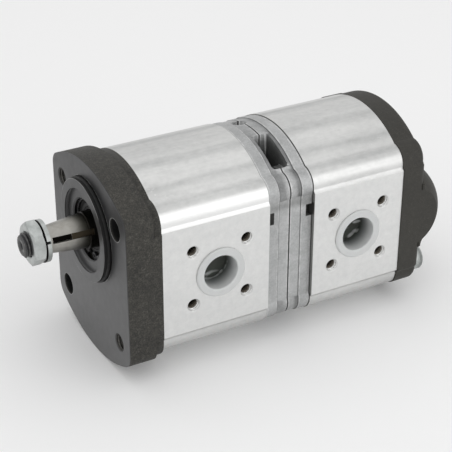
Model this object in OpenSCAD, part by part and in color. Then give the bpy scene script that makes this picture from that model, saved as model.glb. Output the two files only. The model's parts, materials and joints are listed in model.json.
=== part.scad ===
// Tandem external gear pump with two stages on one drive shaft.
// Millimetres. The origin is the centre of the mounting face on the drive shaft's axis. +X runs to the
// rear cover, the large inlet ports face -Y and +Z is up. The driven gears turn below the drive gears.

/* [Section stack] */
// Thickness of the front cover behind its mounting face
front_cover_l = 18; // [17:0.5:24]
// Length of the front pump body
front_body_l = 56.5; // [52:0.5:70]
// Thickness of each intermediate plate
plate_l = 12.2; // [12:0.1:15]
// Length of the rear pump body
rear_body_l = 51; // [48:0.5:64]
// Thickness of the rear cover beside its boss
rear_cover_l = 13.2; // [12:0.1:18]

/* [Section outline] */
// Radius of the long arcs over the top and bottom of the bodies
body_r = 49.6; // [49:0.1:52]
// Half width of the bodies beside the port faces
body_half_w = 38.4; // [37.6:0.1:38.8]
// Radius of the lobe round each long bolt
lobe_r = 9; // [8.6:0.1:9.8]
// Distance between neighbouring long bolts, both ways
bolt_spacing = 60; // [59:0.5:61]
// How far the front cover's lobes stand out past the bodies' lobes
cover_lobe_extra = 1.5; // [0.5:0.1:2]
// How far the intermediate plates stand in from the bodies
plate_inset = 0.4; // [0.1:0.1:0.8]
// How far the rear cover stands out past the bodies' sides
rear_cover_proud = 0.5; // [0:0.1:1.5]

/* [Mounting plate] */
// How far the mounting plate's sides stand out past the port faces
flange_proud = 0.95; // [0.5:0.05:2]
// Radius of the mounting plate's long arcs
flange_arc_r = 74; // [70:1:90]
// Corner radius of the mounting plate
flange_corner_r = 8; // [6:0.5:9]
// Thickness that keeps the mounting plate's full outline
flange_t = 14; // [9:0.5:15]
// Radius of the two holes for mounting bolts, which run through the whole pump
mount_hole_r = 5.5; // [5.1:0.1:5.8]

/* [Pilot and shaft seal] */
// Radius of the round pilot
pilot_r = 25; // [24:0.5:26]
// Height of the pilot above the mounting face
pilot_h = 3.4; // [3:0.1:6]
// Section radius of the ring at the pilot's foot
o_ring_r = 1.2; // [0.9:0.05:1.2]
// Depth of the ring's groove below the pilot's surface
ring_sink = 1.7; // [1.4:0.1:1.9]
// How far the ring's groove reaches behind the mounting face
ring_behind = 0.45; // [0.4:0.05:0.8]
// Radius of the shallow recess in the pilot's face
recess_r = 20.5; // [18:0.5:22]
// Depth of that recess
recess_depth = 2; // [1:0.1:2.2]
// Outside radius of the shaft seal
shaft_seal_r = 15; // [14.5:0.1:16]
// Width of the shaft seal
shaft_seal_w = 7; // [6.5:0.1:9]
// Depth of the shaft seal's front face below the mounting face
shaft_seal_depth = 1.6; // [1.6:0.1:2.2]
// Thickness of the seal's retaining ring
retaining_t = 1.2; // [1:0.1:1.2]

/* [Shaft end] */
// Distance from the mounting face to the large end of the taper
taper_front_x = 3; // [2:0.5:6]
// Length of the taper
taper_l = 19.3; // [15:0.1:24]
// Radius of the taper's large end
taper_r = 8.5; // [8:0.1:8.8]
// Diameter lost per millimetre of taper
taper_rate = 0.2; // [0.1:0.01:0.2]
// Radius over the thread
thread_r = 6; // [5:0.5:6]
// Length of the threaded end past the taper
thread_l = 11.5; // [10:0.5:16]
// Width of the keyway
key_w = 3; // [2:0.5:4]
// Distance from the taper's small end to the keyway
key_front = 1.8; // [1:0.1:4]
// Length of the keyway's deep stretch
key_l = 9.2; // [6:0.2:12]
// Depth of the keyway's deep stretch below the taper's small end
key_depth = 1.6; // [1:0.1:2.4]
// Depth of the keyway's shallow tail below the taper's large end
key_tail_depth = 1.3; // [0.8:0.1:1.8]
// Distance from the mounting face to the end of that tail
key_tail_x = 0.5; // [0.5:0.1:2]
// Angle of the keyway round the shaft, from +Y towards +Z
key_angle = 161; // [0:1:359]
// Distance across the flats of the nut
nut_af = 19; // [17:1:22]
// Thickness of the nut
nut_t = 6; // [5:0.5:8]
// Turn of one corner of the nut from +Y towards +Z
nut_turn = 18; // [0:1:59]
// Thickness of the lock washer
lock_washer_t = 2.4; // [2:0.1:3]
// Outside radius of the lock washer
lock_washer_r = 10.2; // [9.4:0.1:10.6]
// Angle of the lock washer's split round the shaft, from +Y towards +Z
split_angle = 159; // [0:1:359]

/* [Gears] */
// Distance between the drive and driven axes
gear_distance = 32; // [31:0.5:32]
// Teeth on every gear
gear_teeth = 12; // [11:1:13]
// Pressure angle of the teeth
pressure_angle = 25; // [24:1:26]
// Height of the teeth above the pitch circle
addendum = 2.9; // [2.6:0.05:2.9]
// Depth of the teeth below the pitch circle
dedendum = 3.2; // [3.2:0.05:3.5]
// Thickness taken off each tooth at the pitch circle for backlash
backlash = 0.16; // [0.12:0.01:0.25]
// Radius of every journal
journal_r = 9; // [8.9:0.1:9.6]
// Radius over the splines that drive the rear stage
spline_r = 7.5; // [7:0.1:8]
// Number of splines
spline_teeth = 6; // [6:1:8]

/* [Bearing blocks and seals] */
// Length of each bearing block
block_l = 18; // [16:0.5:18]
// Wall of the bearing bushes
bush_wall = 1.45; // [1:0.05:1.6]
// Section width of the 3-shaped seal
axial_seal_w = 2; // [1.5:0.1:2.2]
// Section width of its backing strip
backup_w = 1.3; // [1:0.1:1.5]
// Depth of every seal groove
groove_depth = 1.8; // [1.5:0.1:2.2]
// Section width of the racetrack seals in the body faces
body_seal_w = 2.2; // [1.6:0.1:2.4]
// Radius of the dowel pins
dowel_r = 2.5; // [2:0.1:2.6]
// Length of the dowel pins
dowel_l = 10; // [8:0.5:12]
// Distance of the dowel pins from the middle plane
dowel_y = 18; // [16:0.5:19]
// Height of the dowel pins above the drive axis, and depth below the driven one
dowel_rise = 22.5; // [22:0.1:23.5]

/* [Ports] */
// How far the machined port faces stand out past the bodies' sides
port_face_step = 1.75; // [1:0.05:2.6]
// Half height of the machined port faces
port_face_half_h = 28; // [26:0.5:28.5]
// Radius of the inlet ports
inlet_r = 10; // [8:0.5:10]
// Radius of the outlet ports
outlet_r = 7.5; // [6:0.5:8]
// Bolt circle of the inlet ports
inlet_pcd = 40; // [38:1:42]
// Bolt circle of the outlet ports
outlet_pcd = 35; // [34:1:38]
// Radius of the tapped holes round the ports, over their thread
tap_r = 3; // [2.4:0.1:3.2]
// Depth of the chamfer at their mouths
tap_chamfer = 0.45; // [0.2:0.05:0.5]
// Depth of the tapped holes round the ports
tap_depth = 13; // [10:0.5:14]
// How far the front ports sit behind the middle of the front body
front_port_shift = 2; // [0:0.5:3]

/* [Transit plugs] */
// Wall of the transit plugs
plug_wall = 0.9; // [0.8:0.05:1.2]
// Height of the ribs that grip the port
plug_rib = 0.25; // [0.2:0.05:0.5]
// Depth of the transit plugs inside the port
plug_depth = 11.6; // [7:0.2:12]
// How far a plug's lip reaches past its port
plug_lip = 2.7; // [1.5:0.1:2.8]
// Thickness of a plug's lip
plug_lip_t = 1; // [0.8:0.1:1.5]

/* [Intermediate plates] */
// Length along the shaft of the vent window
window_l = 8.6; // [6:0.2:9]
// Width of the window's shaft down to the coupling
window_w = 13; // [10:0.5:13]
// Distance from the shaft's middle plane to the near side of the window
window_y = 8; // [8:0.5:10]
// Height of the window's floor above the drive axis
window_z = 8; // [6:0.5:12]
// Width of the shallow pocket beside that shaft
pocket_w = 7.5; // [5:0.5:8]
// Height of the pocket's floor above the drive axis
pocket_z = 21; // [20:0.5:25]
// Radius of the window's upright corners
window_edge_r = 1.6; // [0.5:0.1:2.5]
// Width of the raised band beside each body
band_l = 6.2; // [5:0.2:7]
// Depth of the lower band between the raised ones
band_step = 0.4; // [0.2:0.1:0.6]
// Width of the plates' shaft seals
plate_seal_w = 4; // [3:0.1:4.2]
// Radius of the round recess on top of the plates
top_recess_r = 3.7; // [3:0.1:4]
// Depth of that recess below the top of the bodies
top_recess_depth = 6.6; // [4:0.2:9]
// Distance of that recess from the shaft's middle plane
top_recess_y = 9.3; // [8:0.1:11]
// How far that recess sits ahead of the plates' joint
top_recess_shift = 1.4; // [0:0.1:2]
// Height of the lever notch in the plates' inlet side
notch_h = 6.1; // [4:0.1:7]
// Width along the shaft of that notch
notch_w = 3.4; // [2.4:0.1:4.4]

/* [Rear cover] */
// Radius of the domed boss
boss_r = 24.4; // [23:0.2:25]
// Height of the boss above the rear cover
boss_h = 17.2; // [14:0.2:18]
// Radius of the fillet at the boss's foot
boss_fillet_r = 3; // [1:0.5:5]
// Distance from the cover's sides to the middle of the boss's domed ends
boss_end_gap = 18.6; // [16:0.2:20]
// Radius of the rear cover's cast rear edges
rear_edge_r = 3; // [2:0.1:4]
// Depth of the seats for screw and bolt heads
spotface_depth = 2.6; // [1.6:0.1:3]

/* [Long screws] */
// Radius of the long screws' shanks
screw_r = 4; // [3.5:0.1:4.2]
// Radius of the screws' round heads
screw_head_r = 6.5; // [6:0.1:7]
// Height of the screws' heads
screw_head_h = 8; // [6:0.2:8.4]
// Distance across the flats of the screws' sockets
socket_af = 6; // [5:0.5:8]
// Thickness of the washers under them
washer_t = 1; // [0.8:0.1:1.5]
// How far the screws' ends stay below the mounting face
screw_end_gap = 4.5; // [2:0.5:8]

/* [Clearances] */
// Gap between a journal and its bush or seal lip
journal_gap = 0.04; // [0.02:0.01:0.08]
// Gap between the gear tips and the chamber wall
tip_gap = 0.3; // [0.3:0.05:0.4]
// Gap between the bearing blocks and the chamber wall
block_gap = 0.05; // [0.02:0.01:0.1]
// Gap between a gear's face and a bearing block
side_gap = 0.05; // [0.03:0.01:0.1]
// Gap round seals, pins, splines and threads in their seats
seat_gap = 0.05; // [0.03:0.01:0.08]
// Gap between a transit plug and its port
plug_gap = 0.08; // [0.05:0.01:0.1]

/* [Hidden] */
$fn = 96;
// Overlap of a cutting tool past the face that it cuts
over = 1;
// Shift that keeps neighbouring arcs from meeting exactly edge to edge
blend = 0.03;
// Facets of the two wide arcs and of a ring's round section
arc_fn = 180;
cord_fn = 48;
// Chamfer at the mouths of bores and the ends of screws, and how far its tool starts outside
mouth = 0.7;
lead = 0.1;

// Colours of the materials
black_paint = [0.16, 0.16, 0.17];
aluminium = [0.8, 0.81, 0.82];
die_cast = [0.6, 0.61, 0.63];
rubber = [0.07, 0.07, 0.07];
block_alloy = [0.72, 0.72, 0.72];
bronze = [0.72, 0.52, 0.3];
backing = [0.85, 0.83, 0.75];
steel = [0.62, 0.61, 0.58];
dark_steel = [0.12, 0.12, 0.12];
zinc_plate = [0.75, 0.77, 0.8];
plastic = [0.82, 0.85, 0.85];

// Room between the shaft and the front cover's passage, the coupling's bore, and a journal's end
passage_gap = 1.2;
coupling_gap = 4;
journal_end_gap = 0.5;
// Walls outside the gear chambers, up to the bodies' seals and inside the blocks' seals
seal_wall = 1.2;
axial_wall = 2;
// Side of the pressure band that faces the inlet, from the shaft's middle plane
axial_cut_y = -3;
// Gap round the long screws
screw_gap = 0.5;
// Splines below their crests and either side of their middle
spline_depth = 1.4;
spline_half_w = 1.6;
// Space round the coupling sleeve, at its ends and between the two shafts inside it
sleeve_gap = 1.5;
sleeve_end_gap = 0.2;
shaft_end_gap = 1.5;
// Where the shaft seal's lip touches, from the seal's front
lip_x = 4.4;

section_z = -gear_distance / 2;
port_face_half_w = body_half_w + port_face_step;
flange_half_w = port_face_half_w + flange_proud;
flange_h = 2 * body_r;
bolt_p = bolt_spacing / 2;
front_body_x = front_cover_l;
front_plate_x = front_body_x + front_body_l;
joint_x = front_plate_x + plate_l;
rear_body_x = joint_x + plate_l;
rear_cover_x = rear_body_x + rear_body_l;
rear_x = rear_cover_x + rear_cover_l;
spotface_x = rear_x - spotface_depth;
boss_x = rear_x + boss_h - boss_r;

pitch_r = gear_distance / 2;
tip_r = pitch_r + addendum;
root_r = pitch_r - dedendum;
base_r = pitch_r * cos(pressure_angle);
chamber_r = tip_r + tip_gap;
block_r = chamber_r - block_gap;
bore_r = journal_r + journal_gap;
bush_r = bore_r + bush_wall;
passage_r = journal_r + passage_gap;
coupling_r = journal_r + coupling_gap;
body_seal_in = chamber_r + seal_wall;

front_port_x = front_body_x + front_body_l / 2 + front_port_shift;
rear_port_x = rear_body_x + rear_body_l / 2;
shaft_seal_end = shaft_seal_depth + shaft_seal_w;
groove_half = o_ring_r + seat_gap;
pilot_groove_r = pilot_r - ring_sink;
taper_small_r = taper_r - taper_rate / 2 * taper_l;
taper_end_x = -taper_front_x - taper_l;
stud_x = taper_end_x - thread_l;
lock_washer_x = taper_end_x - seat_gap - lock_washer_t;
nut_x = lock_washer_x - seat_gap - nut_t;
stud_chamfer = 1;
relief_l = 1.2;
relief_depth = 0.9;
relief_r = thread_r - relief_depth;
tapped_r = screw_r + seat_gap;
screw_clear_r = screw_r + screw_gap;
retaining_groove_r = shaft_seal_r + mouth;
cover_half_w = port_face_half_w + rear_cover_proud;
port_start = chamber_r / 2;

// Ways of placing work along the pump

// Carries a flat outline, drawn as y across and z up, from x0 along the shaft.
module along_x(x0, l) {
    translate([x0, 0, 0]) rotate([90, 0, 90]) linear_extrude(l) children();
}

// Turns an outline of [radius, x] points about the shaft axis.
module turned(points) {
    rotate([0, 90, 0]) rotate_extrude() polygon(points);
}

// Turns a drawn section of [radius, x] about the shaft axis.
module turned_section() {
    rotate([0, 90, 0]) rotate_extrude() children();
}

module rod(x0, x1, r) {
    translate([x0, 0, 0]) rotate([0, 90, 0]) cylinder(h = x1 - x0, r = r);
}

// A cone along the shaft from radius r0 at x0 to radius r1 at x1.
module cone(x0, x1, r0, r1) {
    translate([x0, 0, 0]) rotate([0, 90, 0]) cylinder(h = x1 - x0, r1 = r0, r2 = r1);
}

// Chamfer at the mouth of a bore that opens at x, toward lower x when way is -1 and higher x when it is 1.
module mouth_cut(x, r, way) {
    translate([x + way * lead, 0, 0]) rotate([0, -90 * way, 0]) cylinder(h = mouth, r1 = r + mouth, r2 = r);
}

module ring(x0, x1, r_out, r_in) {
    difference() {
        rod(x0, x1, r_out);
        rod(x0 - over, x1 + over, r_in);
    }
}

// A ring of round section with its middle at x and at radius r.
module cord_ring(x, r, section_r) {
    translate([x, 0, 0]) rotate([0, 90, 0]) rotate_extrude() translate([r, 0])
        circle(section_r, $fn = cord_fn);
}

module at_driven_axis() {
    translate([0, 0, -gear_distance]) children();
}

module at_both_axes() {
    children();
    at_driven_axis() children();
}

// The two corners with holes for the customer's mounting bolts.
module at_mount_holes() {
    for (s = [-1, 1]) translate([0, s * bolt_p, section_z - s * bolt_p]) children();
}

// The two corners with the pump's own long screws.
module at_long_screws() {
    for (s = [-1, 1]) translate([0, s * bolt_p, section_z + s * bolt_p]) children();
}

// Dowels sit beside the top and bottom of the stack, clear of chambers and grooves.
module at_dowels() {
    dowel_z = gear_distance / 2 + dowel_rise;
    for (s = [-1, 1]) translate([0, s * dowel_y, section_z + s * dowel_z]) children();
}

// A frame on a port's axis: its z runs out of the port, side is -1 for the inlets and 1 for the outlets.
module at_port(x, side) {
    translate([x, 0, section_z]) rotate([-90 * side, 0, 0]) children();
}

// Section outlines

module four_corners(y, z) {
    for (sy = [-1, 1], sz = [-1, 1]) translate([sy * y, sz * z]) children();
}

// Two long arcs, flat sides and a lobe round each bolt, taken in by inset on every side.
module section(inset = 0, lobe_extra = 0, side = body_half_w) {
    translate([0, section_z]) {
        intersection() {
            circle(body_r - inset);
            square([2 * (side - inset), 2 * body_r], center = true);
        }
        four_corners(bolt_p, bolt_p) circle(lobe_r + lobe_extra - inset);
    }
}

// The bodies' extrusion: the section with a raised, flat port face on both sides.
module body_outline() {
    bite = 0.5;
    slope_w = body_half_w - bite;
    slope_h = port_face_half_h + port_face_half_w - slope_w;
    section();
    translate([0, section_z]) polygon([
        [port_face_half_w, -port_face_half_h], [port_face_half_w, port_face_half_h],
        [slope_w, slope_h], [-slope_w, slope_h],
        [-port_face_half_w, port_face_half_h], [-port_face_half_w, -port_face_half_h],
        [-slope_w, -slope_h], [slope_w, -slope_h]
    ]);
}

// The mounting plate: two flatter arcs, straight sides and four corner arcs tangent to both.
module flange_outline() {
    arc_z = flange_arc_r - flange_h / 2;
    corner_y = flange_half_w - flange_corner_r;
    corner_z = sqrt(pow(flange_arc_r - flange_corner_r, 2) - pow(corner_y, 2)) - arc_z;
    tangent_y = corner_y * flange_arc_r / (flange_arc_r - flange_corner_r);
    translate([0, section_z]) {
        intersection() {
            translate([0, -arc_z]) circle(flange_arc_r, $fn = arc_fn);
            translate([0, arc_z]) circle(flange_arc_r, $fn = arc_fn);
            square([2 * tangent_y - 10 * blend, flange_h + 2 * over], center = true);
        }
        square([2 * flange_half_w, 2 * corner_z], center = true);
        four_corners(corner_y, corner_z) circle(flange_corner_r + blend);
    }
}

module two_circles(r) {
    circle(r);
    translate([0, -gear_distance]) circle(r);
}

module racetrack(r) {
    two_circles(r);
    translate([0, section_z]) square([2 * (r - blend), gear_distance], center = true);
}

// Teeth

// Involute function of an angle in degrees, as an angle in degrees.
function inv(a) = tan(a) * 180 / PI - a;

// Half the angle that a tooth spans at radius r, in degrees. Below the base circle the flank is radial.
function half_tooth(r) =
    let (at_pitch = 90 / gear_teeth - backlash / (2 * pitch_r) * 180 / PI)
    at_pitch + inv(pressure_angle) - inv(acos(min(1, base_r / max(r, base_r))));

flank_steps = 7;
flank_radii = concat(
    [root_r, (root_r + base_r) / 2],
    [for (i = [0:flank_steps]) base_r + (tip_r - base_r) * i / flank_steps]
);

function polar(r, a) = [r * cos(a), r * sin(a)];

// One tooth centred on angle a, from the root on one side over the tip to the root on the other.
function tooth(a) = concat(
    [for (i = [0:len(flank_radii) - 1]) polar(flank_radii[i], a - half_tooth(flank_radii[i]))],
    [for (i = [len(flank_radii) - 1:-1:0]) polar(flank_radii[i], a + half_tooth(flank_radii[i]))],
    [polar(root_r, a + 180 / gear_teeth)]
);

// A gear's outline with a tooth centred on angle phase.
module gear_outline(phase) {
    polygon([for (k = [0:gear_teeth - 1]) each tooth(phase + k * 360 / gear_teeth)]);
}

module spline_outline(gap = 0) {
    circle(spline_r - spline_depth + gap);
    for (k = [0:spline_teeth - 1]) rotate(k * 360 / spline_teeth)
        translate([0, -spline_half_w - gap]) square([spline_r + gap, 2 * (spline_half_w + gap)]);
}

// Covers

module front_cover() {
    seat_x = recess_depth - pilot_h;
    tapped_mouth = 0.7;
    color(black_paint) difference() {
        union() {
            along_x(0, flange_t) flange_outline();
            along_x(flange_t - over, front_cover_l - flange_t + over)
                section(0, cover_lobe_extra, flange_half_w);
            rod(-pilot_h, over, pilot_r);
        }
        pilot_groove();
        rod(-pilot_h - over, seat_x, recess_r);
        rod(seat_x - over, shaft_seal_end, shaft_seal_r);
        mouth_cut(seat_x, shaft_seal_r, -1);
        rod(shaft_seal_depth - retaining_t - seat_gap, shaft_seal_depth, retaining_groove_r);
        rod(shaft_seal_end - over, front_cover_l + over, passage_r);
        at_mount_holes() rod(-over, front_cover_l + over, mount_hole_r);
        at_long_screws() {
            rod(-over, front_cover_l + over, tapped_r);
            cone(-lead, tapped_mouth, tapped_r + tapped_mouth + lead, tapped_r);
        }
        dowel_holes(front_body_x);
    }
}

// Groove in the pilot's foot and the mounting face for the ring.
module pilot_groove() {
    front_x = ring_behind - 2 * groove_half;
    outer_r = pilot_groove_r + 2 * groove_half;
    turned([
        [pilot_groove_r, front_x], [pilot_groove_r, ring_behind],
        [outer_r, ring_behind], [outer_r, front_x]
    ]);
}

module pilot_o_ring() {
    color(rubber) cord_ring(ring_behind - groove_half, pilot_groove_r + groove_half, o_ring_r);
}

// A rectangle from the origin whose far corner is rounded.
module soft_corner(w, h, edge) {
    difference() {
        square([w, h]);
        translate([w - edge, h - edge]) difference() {
            square(edge + over);
            circle(edge);
        }
    }
}

// A rectangle about the origin with its four corners rounded.
module soft_rect(w, h, edge) {
    bit = edge + over;
    difference() {
        square([w, h], center = true);
        for (sx = [-1, 1], sy = [-1, 1]) translate([sx * (w / 2 - edge), sy * (h / 2 - edge)])
            difference() {
                translate([sx * bit / 2, sy * bit / 2]) square(bit, center = true);
                circle(edge);
            }
    }
}

// A round block along the shaft from x0 with a rounded rear edge.
module soft_rod(x0, l, r, edge) {
    translate([x0, 0, 0]) rotate([0, 90, 0]) rotate_extrude() soft_corner(r, l, edge);
}

// The section's outline as a cast plate with rounded rear edges.
module cast_plate(x0, l, edge) {
    intersection() {
        translate([0, 0, section_z]) soft_rod(x0, l, body_r, edge);
        translate([x0, 0, section_z - body_r]) linear_extrude(2 * body_r) union() {
            soft_corner(l, cover_half_w, edge);
            mirror([0, 1, 0]) soft_corner(l, cover_half_w, edge);
        }
    }
    at_mount_holes() soft_rod(x0, l, lobe_r + rear_cover_proud, edge);
    at_long_screws() soft_rod(x0, l, lobe_r + rear_cover_proud, edge);
}

// Section of the fillet between the boss and the cover's rear face, as [distance from the boss's middle, x].
module boss_foot_section() {
    centre_x = rear_x + boss_fillet_r;
    centre_d = sqrt(pow(boss_r + boss_fillet_r, 2) - pow(centre_x - boss_x, 2));
    touch = boss_r / (boss_r + boss_fillet_r);
    touch_d = centre_d * touch;
    touch_x = boss_x + (centre_x - boss_x) * touch;
    difference() {
        polygon([
            [touch_d - over, rear_x - over], [centre_d, rear_x - over], [centre_d, rear_x],
            [touch_d, touch_x], [touch_d - over, touch_x]
        ]);
        translate([centre_d, centre_x]) circle(boss_fillet_r + blend);
    }
}

// The fillet along the boss and round its two ends, cut off at the cover's sides.
module boss_foot(boss_y) {
    for (s = [-1, 1]) intersection() {
        translate([0, s * boss_y, section_z]) turned_section() boss_foot_section();
        translate([rear_x - 2 * over, s > 0 ? boss_y : -cover_half_w, section_z - 2 * boss_r])
            cube([boss_h, cover_half_w - boss_y, 4 * boss_r]);
    }
    for (turn = [0, 180]) translate([0, 0, section_z]) rotate([turn, 0, 0]) rotate([90, 0, 0])
        linear_extrude(2 * boss_y, center = true) mirror([1, -1]) boss_foot_section();
}

module rear_cover() {
    boss_y = cover_half_w - boss_end_gap;
    spotface_rim = 0.6;
    head_gap = 1.2;
    color(black_paint) difference() {
        union() {
            cast_plate(rear_cover_x, rear_cover_l, rear_edge_r);
            intersection() {
                translate([rear_cover_x + over, -cover_half_w, section_z - boss_r])
                    cube([rear_cover_l + boss_h, 2 * cover_half_w, 2 * boss_r]);
                union() {
                    for (s = [-1, 1]) translate([boss_x, s * boss_y, section_z]) sphere(boss_r);
                    translate([boss_x, 0, section_z]) rotate([90, 0, 0])
                        cylinder(h = 2 * boss_y, r = boss_r - 2 * blend, center = true);
                }
            }
            boss_foot(boss_y);
        }
        at_mount_holes() {
            rod(rear_cover_x - over, rear_x + over, mount_hole_r);
            rod(spotface_x, rear_x + boss_h, lobe_r - spotface_rim);
        }
        at_long_screws() {
            rod(rear_cover_x - over, rear_x + over, screw_clear_r);
            rod(spotface_x, rear_x + boss_h, screw_head_r + head_gap);
        }
        dowel_holes(rear_cover_x);
    }
}

// Bodies

// A port with its four tapped holes, cut from the port face inwards.
module port_cut(x, side, r, pcd) {
    at_port(x, side) {
        translate([0, 0, port_start]) cylinder(h = port_face_half_w - port_start + over, r = r);
        for (k = [0:3]) rotate(45 + 90 * k) translate([pcd / 2, 0, 0]) {
            translate([0, 0, port_face_half_w - tap_depth]) cylinder(h = tap_depth + over, r = tap_r);
            translate([0, 0, port_face_half_w - tap_chamfer])
                cylinder(h = tap_chamfer + over, r1 = tap_r, r2 = tap_r + tap_chamfer + over);
        }
    }
}

module seal_groove(x0, r_in, r_out, depth) {
    along_x(x0, depth) difference() {
        racetrack(r_out);
        racetrack(r_in);
    }
}

module body_seal_grooves(x0, l) {
    out = body_seal_in + body_seal_w + seat_gap;
    seal_groove(x0 - over, body_seal_in - seat_gap, out, groove_depth + over);
    seal_groove(x0 + l - groove_depth, body_seal_in - seat_gap, out, groove_depth + over);
}

module dowel_holes(x) {
    at_dowels() rod(x - dowel_l / 2 - seat_gap, x + dowel_l / 2 + seat_gap, dowel_r + seat_gap);
}

module pump_body(x0, l, port_x) {
    difference() {
        along_x(x0, l) body_outline();
        along_x(x0 - over, l + 2 * over) two_circles(chamber_r);
        at_mount_holes() rod(x0 - over, x0 + l + over, mount_hole_r);
        at_long_screws() rod(x0 - over, x0 + l + over, screw_clear_r);
        body_seal_grooves(x0, l);
        dowel_holes(x0);
        dowel_holes(x0 + l);
        port_cut(port_x, -1, inlet_r, inlet_pcd);
        port_cut(port_x, 1, outlet_r, outlet_pcd);
    }
}

module front_body() {
    color(aluminium) pump_body(front_body_x, front_body_l, front_port_x);
}

module rear_body() {
    color(aluminium) pump_body(rear_body_x, rear_body_l, rear_port_x);
}

// Bodies' four racetrack seals, one solid each.
module body_seals() {
    t = groove_depth - seat_gap;
    color(rubber)
        for (x = [front_body_x, front_plate_x - t, rear_body_x, rear_cover_x - t])
            along_x(x, t) difference() {
                racetrack(body_seal_in + body_seal_w);
                racetrack(body_seal_in);
            }
}

// Intermediate plates

// A plate from x0, with its raised band at the body side: toward is 1 when the body lies at higher x.
module intermediate_plate(x0, toward) {
    body_x = toward > 0 ? x0 + plate_l : x0;
    band_x = toward > 0 ? body_x - band_l : body_x;
    notch_x = toward > 0 ? body_x - notch_w : body_x - over;
    notch_z = 0.2;
    notch_reach = 4;
    difference() {
        union() {
            along_x(x0, plate_l) section(plate_inset + band_step);
            along_x(band_x, band_l) section(plate_inset);
        }
        rod(x0 - over, x0 + plate_l + over, coupling_r);
        at_mount_holes() rod(x0 - over, x0 + plate_l + over, mount_hole_r);
        at_long_screws() rod(x0 - over, x0 + plate_l + over, screw_clear_r);
        dowel_holes(body_x);
        dowel_holes(joint_x);
        vent_window();
        top_recess();
        translate([notch_x, -body_half_w - over, notch_z])
            cube([notch_w + over, notch_reach + over, notch_h]);
    }
}

// Window from the top of the plates down to the coupling: leaked oil shows here.
module vent_window() {
    far_y = window_y + window_w;
    pocket_l = pocket_w + window_w / 2;
    translate([joint_x, -window_y - window_w / 2, window_z])
        linear_extrude(body_r) soft_rect(window_l, window_w, window_edge_r);
    translate([joint_x, -far_y - pocket_w + pocket_l / 2, pocket_z])
        linear_extrude(body_r) soft_rect(window_l, pocket_l, window_edge_r);
}

module top_recess() {
    translate([joint_x - top_recess_shift, top_recess_y, section_z + body_r - top_recess_depth])
        cylinder(h = top_recess_depth + over, r = top_recess_r);
}

module front_plate() {
    color(die_cast) intermediate_plate(front_plate_x, -1);
}

module rear_plate() {
    color(die_cast) intermediate_plate(joint_x, 1);
}

module plate_shaft_seals() {
    color(rubber)
        for (x = [front_plate_x, rear_body_x - plate_seal_w])
            ring(x, x + plate_seal_w, coupling_r, bore_r);
}

// Bearing blocks and their seals

// The 3-shaped band behind the journals, on the pressure side only.
module three_outline(r_in, r_out, cut_y) {
    reach = 2 * gear_distance;
    intersection() {
        difference() {
            two_circles(r_out);
            two_circles(r_in);
        }
        translate([cut_y, section_z - reach]) square([2 * chamber_r, 2 * reach]);
    }
}

axial_out = block_r - axial_wall;
axial_in = axial_out - axial_seal_w;
backup_in = axial_in - seat_gap - backup_w;

// A block from x0 with its gear face at the end that toward points to.
module bearing_block(x0, toward) {
    gear_x = toward > 0 ? x0 + block_l : x0;
    back_x = toward > 0 ? x0 - over : x0 + block_l - groove_depth;
    pocket = [2.4, 5, 7];
    pocket_y = 5.5;
    difference() {
        along_x(x0, block_l) two_circles(block_r);
        at_both_axes() rod(x0 - over, x0 + block_l + over, bush_r);
        along_x(back_x, groove_depth + over)
            three_outline(backup_in - seat_gap, axial_out + seat_gap, axial_cut_y - seat_gap);
        // Pockets beside the mesh let trapped oil out
        for (s = [-1, 1]) translate([gear_x, s * pocket_y, section_z]) cube(pocket, center = true);
    }
}

front_block_xs = [front_body_x, front_plate_x - block_l];
rear_block_xs = [rear_body_x, rear_cover_x - block_l];

module front_stage_front_block() {
    color(block_alloy) bearing_block(front_block_xs[0], 1);
}

module front_stage_rear_block() {
    color(block_alloy) bearing_block(front_block_xs[1], -1);
}

module rear_stage_front_block() {
    color(block_alloy) bearing_block(rear_block_xs[0], 1);
}

module rear_stage_rear_block() {
    color(block_alloy) bearing_block(rear_block_xs[1], -1);
}

module bearing_bushes() {
    color(bronze) for (x = concat(front_block_xs, rear_block_xs))
        at_both_axes() ring(x, x + block_l, bush_r, bore_r);
}

// Where the seal behind each block starts.
function seal_starts() = [
    front_block_xs[0], front_plate_x - groove_depth + seat_gap,
    rear_block_xs[0], rear_cover_x - groove_depth + seat_gap
];

module axial_seals() {
    color(rubber) for (x = seal_starts())
        along_x(x, groove_depth - seat_gap) three_outline(axial_in, axial_out, axial_cut_y);
}

module seal_backups() {
    color(backing) for (x = seal_starts())
        along_x(x, groove_depth - seat_gap) three_outline(backup_in, axial_in - seat_gap, axial_cut_y);
}

// Gears and shafts

front_gear_x = [front_body_x + block_l + side_gap, front_plate_x - block_l - side_gap];
rear_gear_x = [rear_body_x + block_l + side_gap, rear_cover_x - block_l - side_gap];

drive_phase = -90;
driven_phase = 90 + 180 / gear_teeth;

module gear(x, phase) {
    along_x(x[0], x[1] - x[0]) gear_outline(phase);
}

// A gear with its journals between the walls at x0 and x1, lightened by a hole in each end.
module driven_gear(x0, x1, gear_x) {
    hole_l = 4;
    hole_r = 3;
    at_driven_axis() {
        difference() {
            rod(x0 + journal_end_gap, x1 - journal_end_gap, journal_r);
            for (x = [x0, x1 - hole_l]) rod(x - over, x + hole_l + over, hole_r);
        }
        gear(gear_x, driven_phase);
    }
}

plate_end_l = plate_seal_w + journal_end_gap;
sleeve_half_l = plate_l - plate_end_l;

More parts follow.
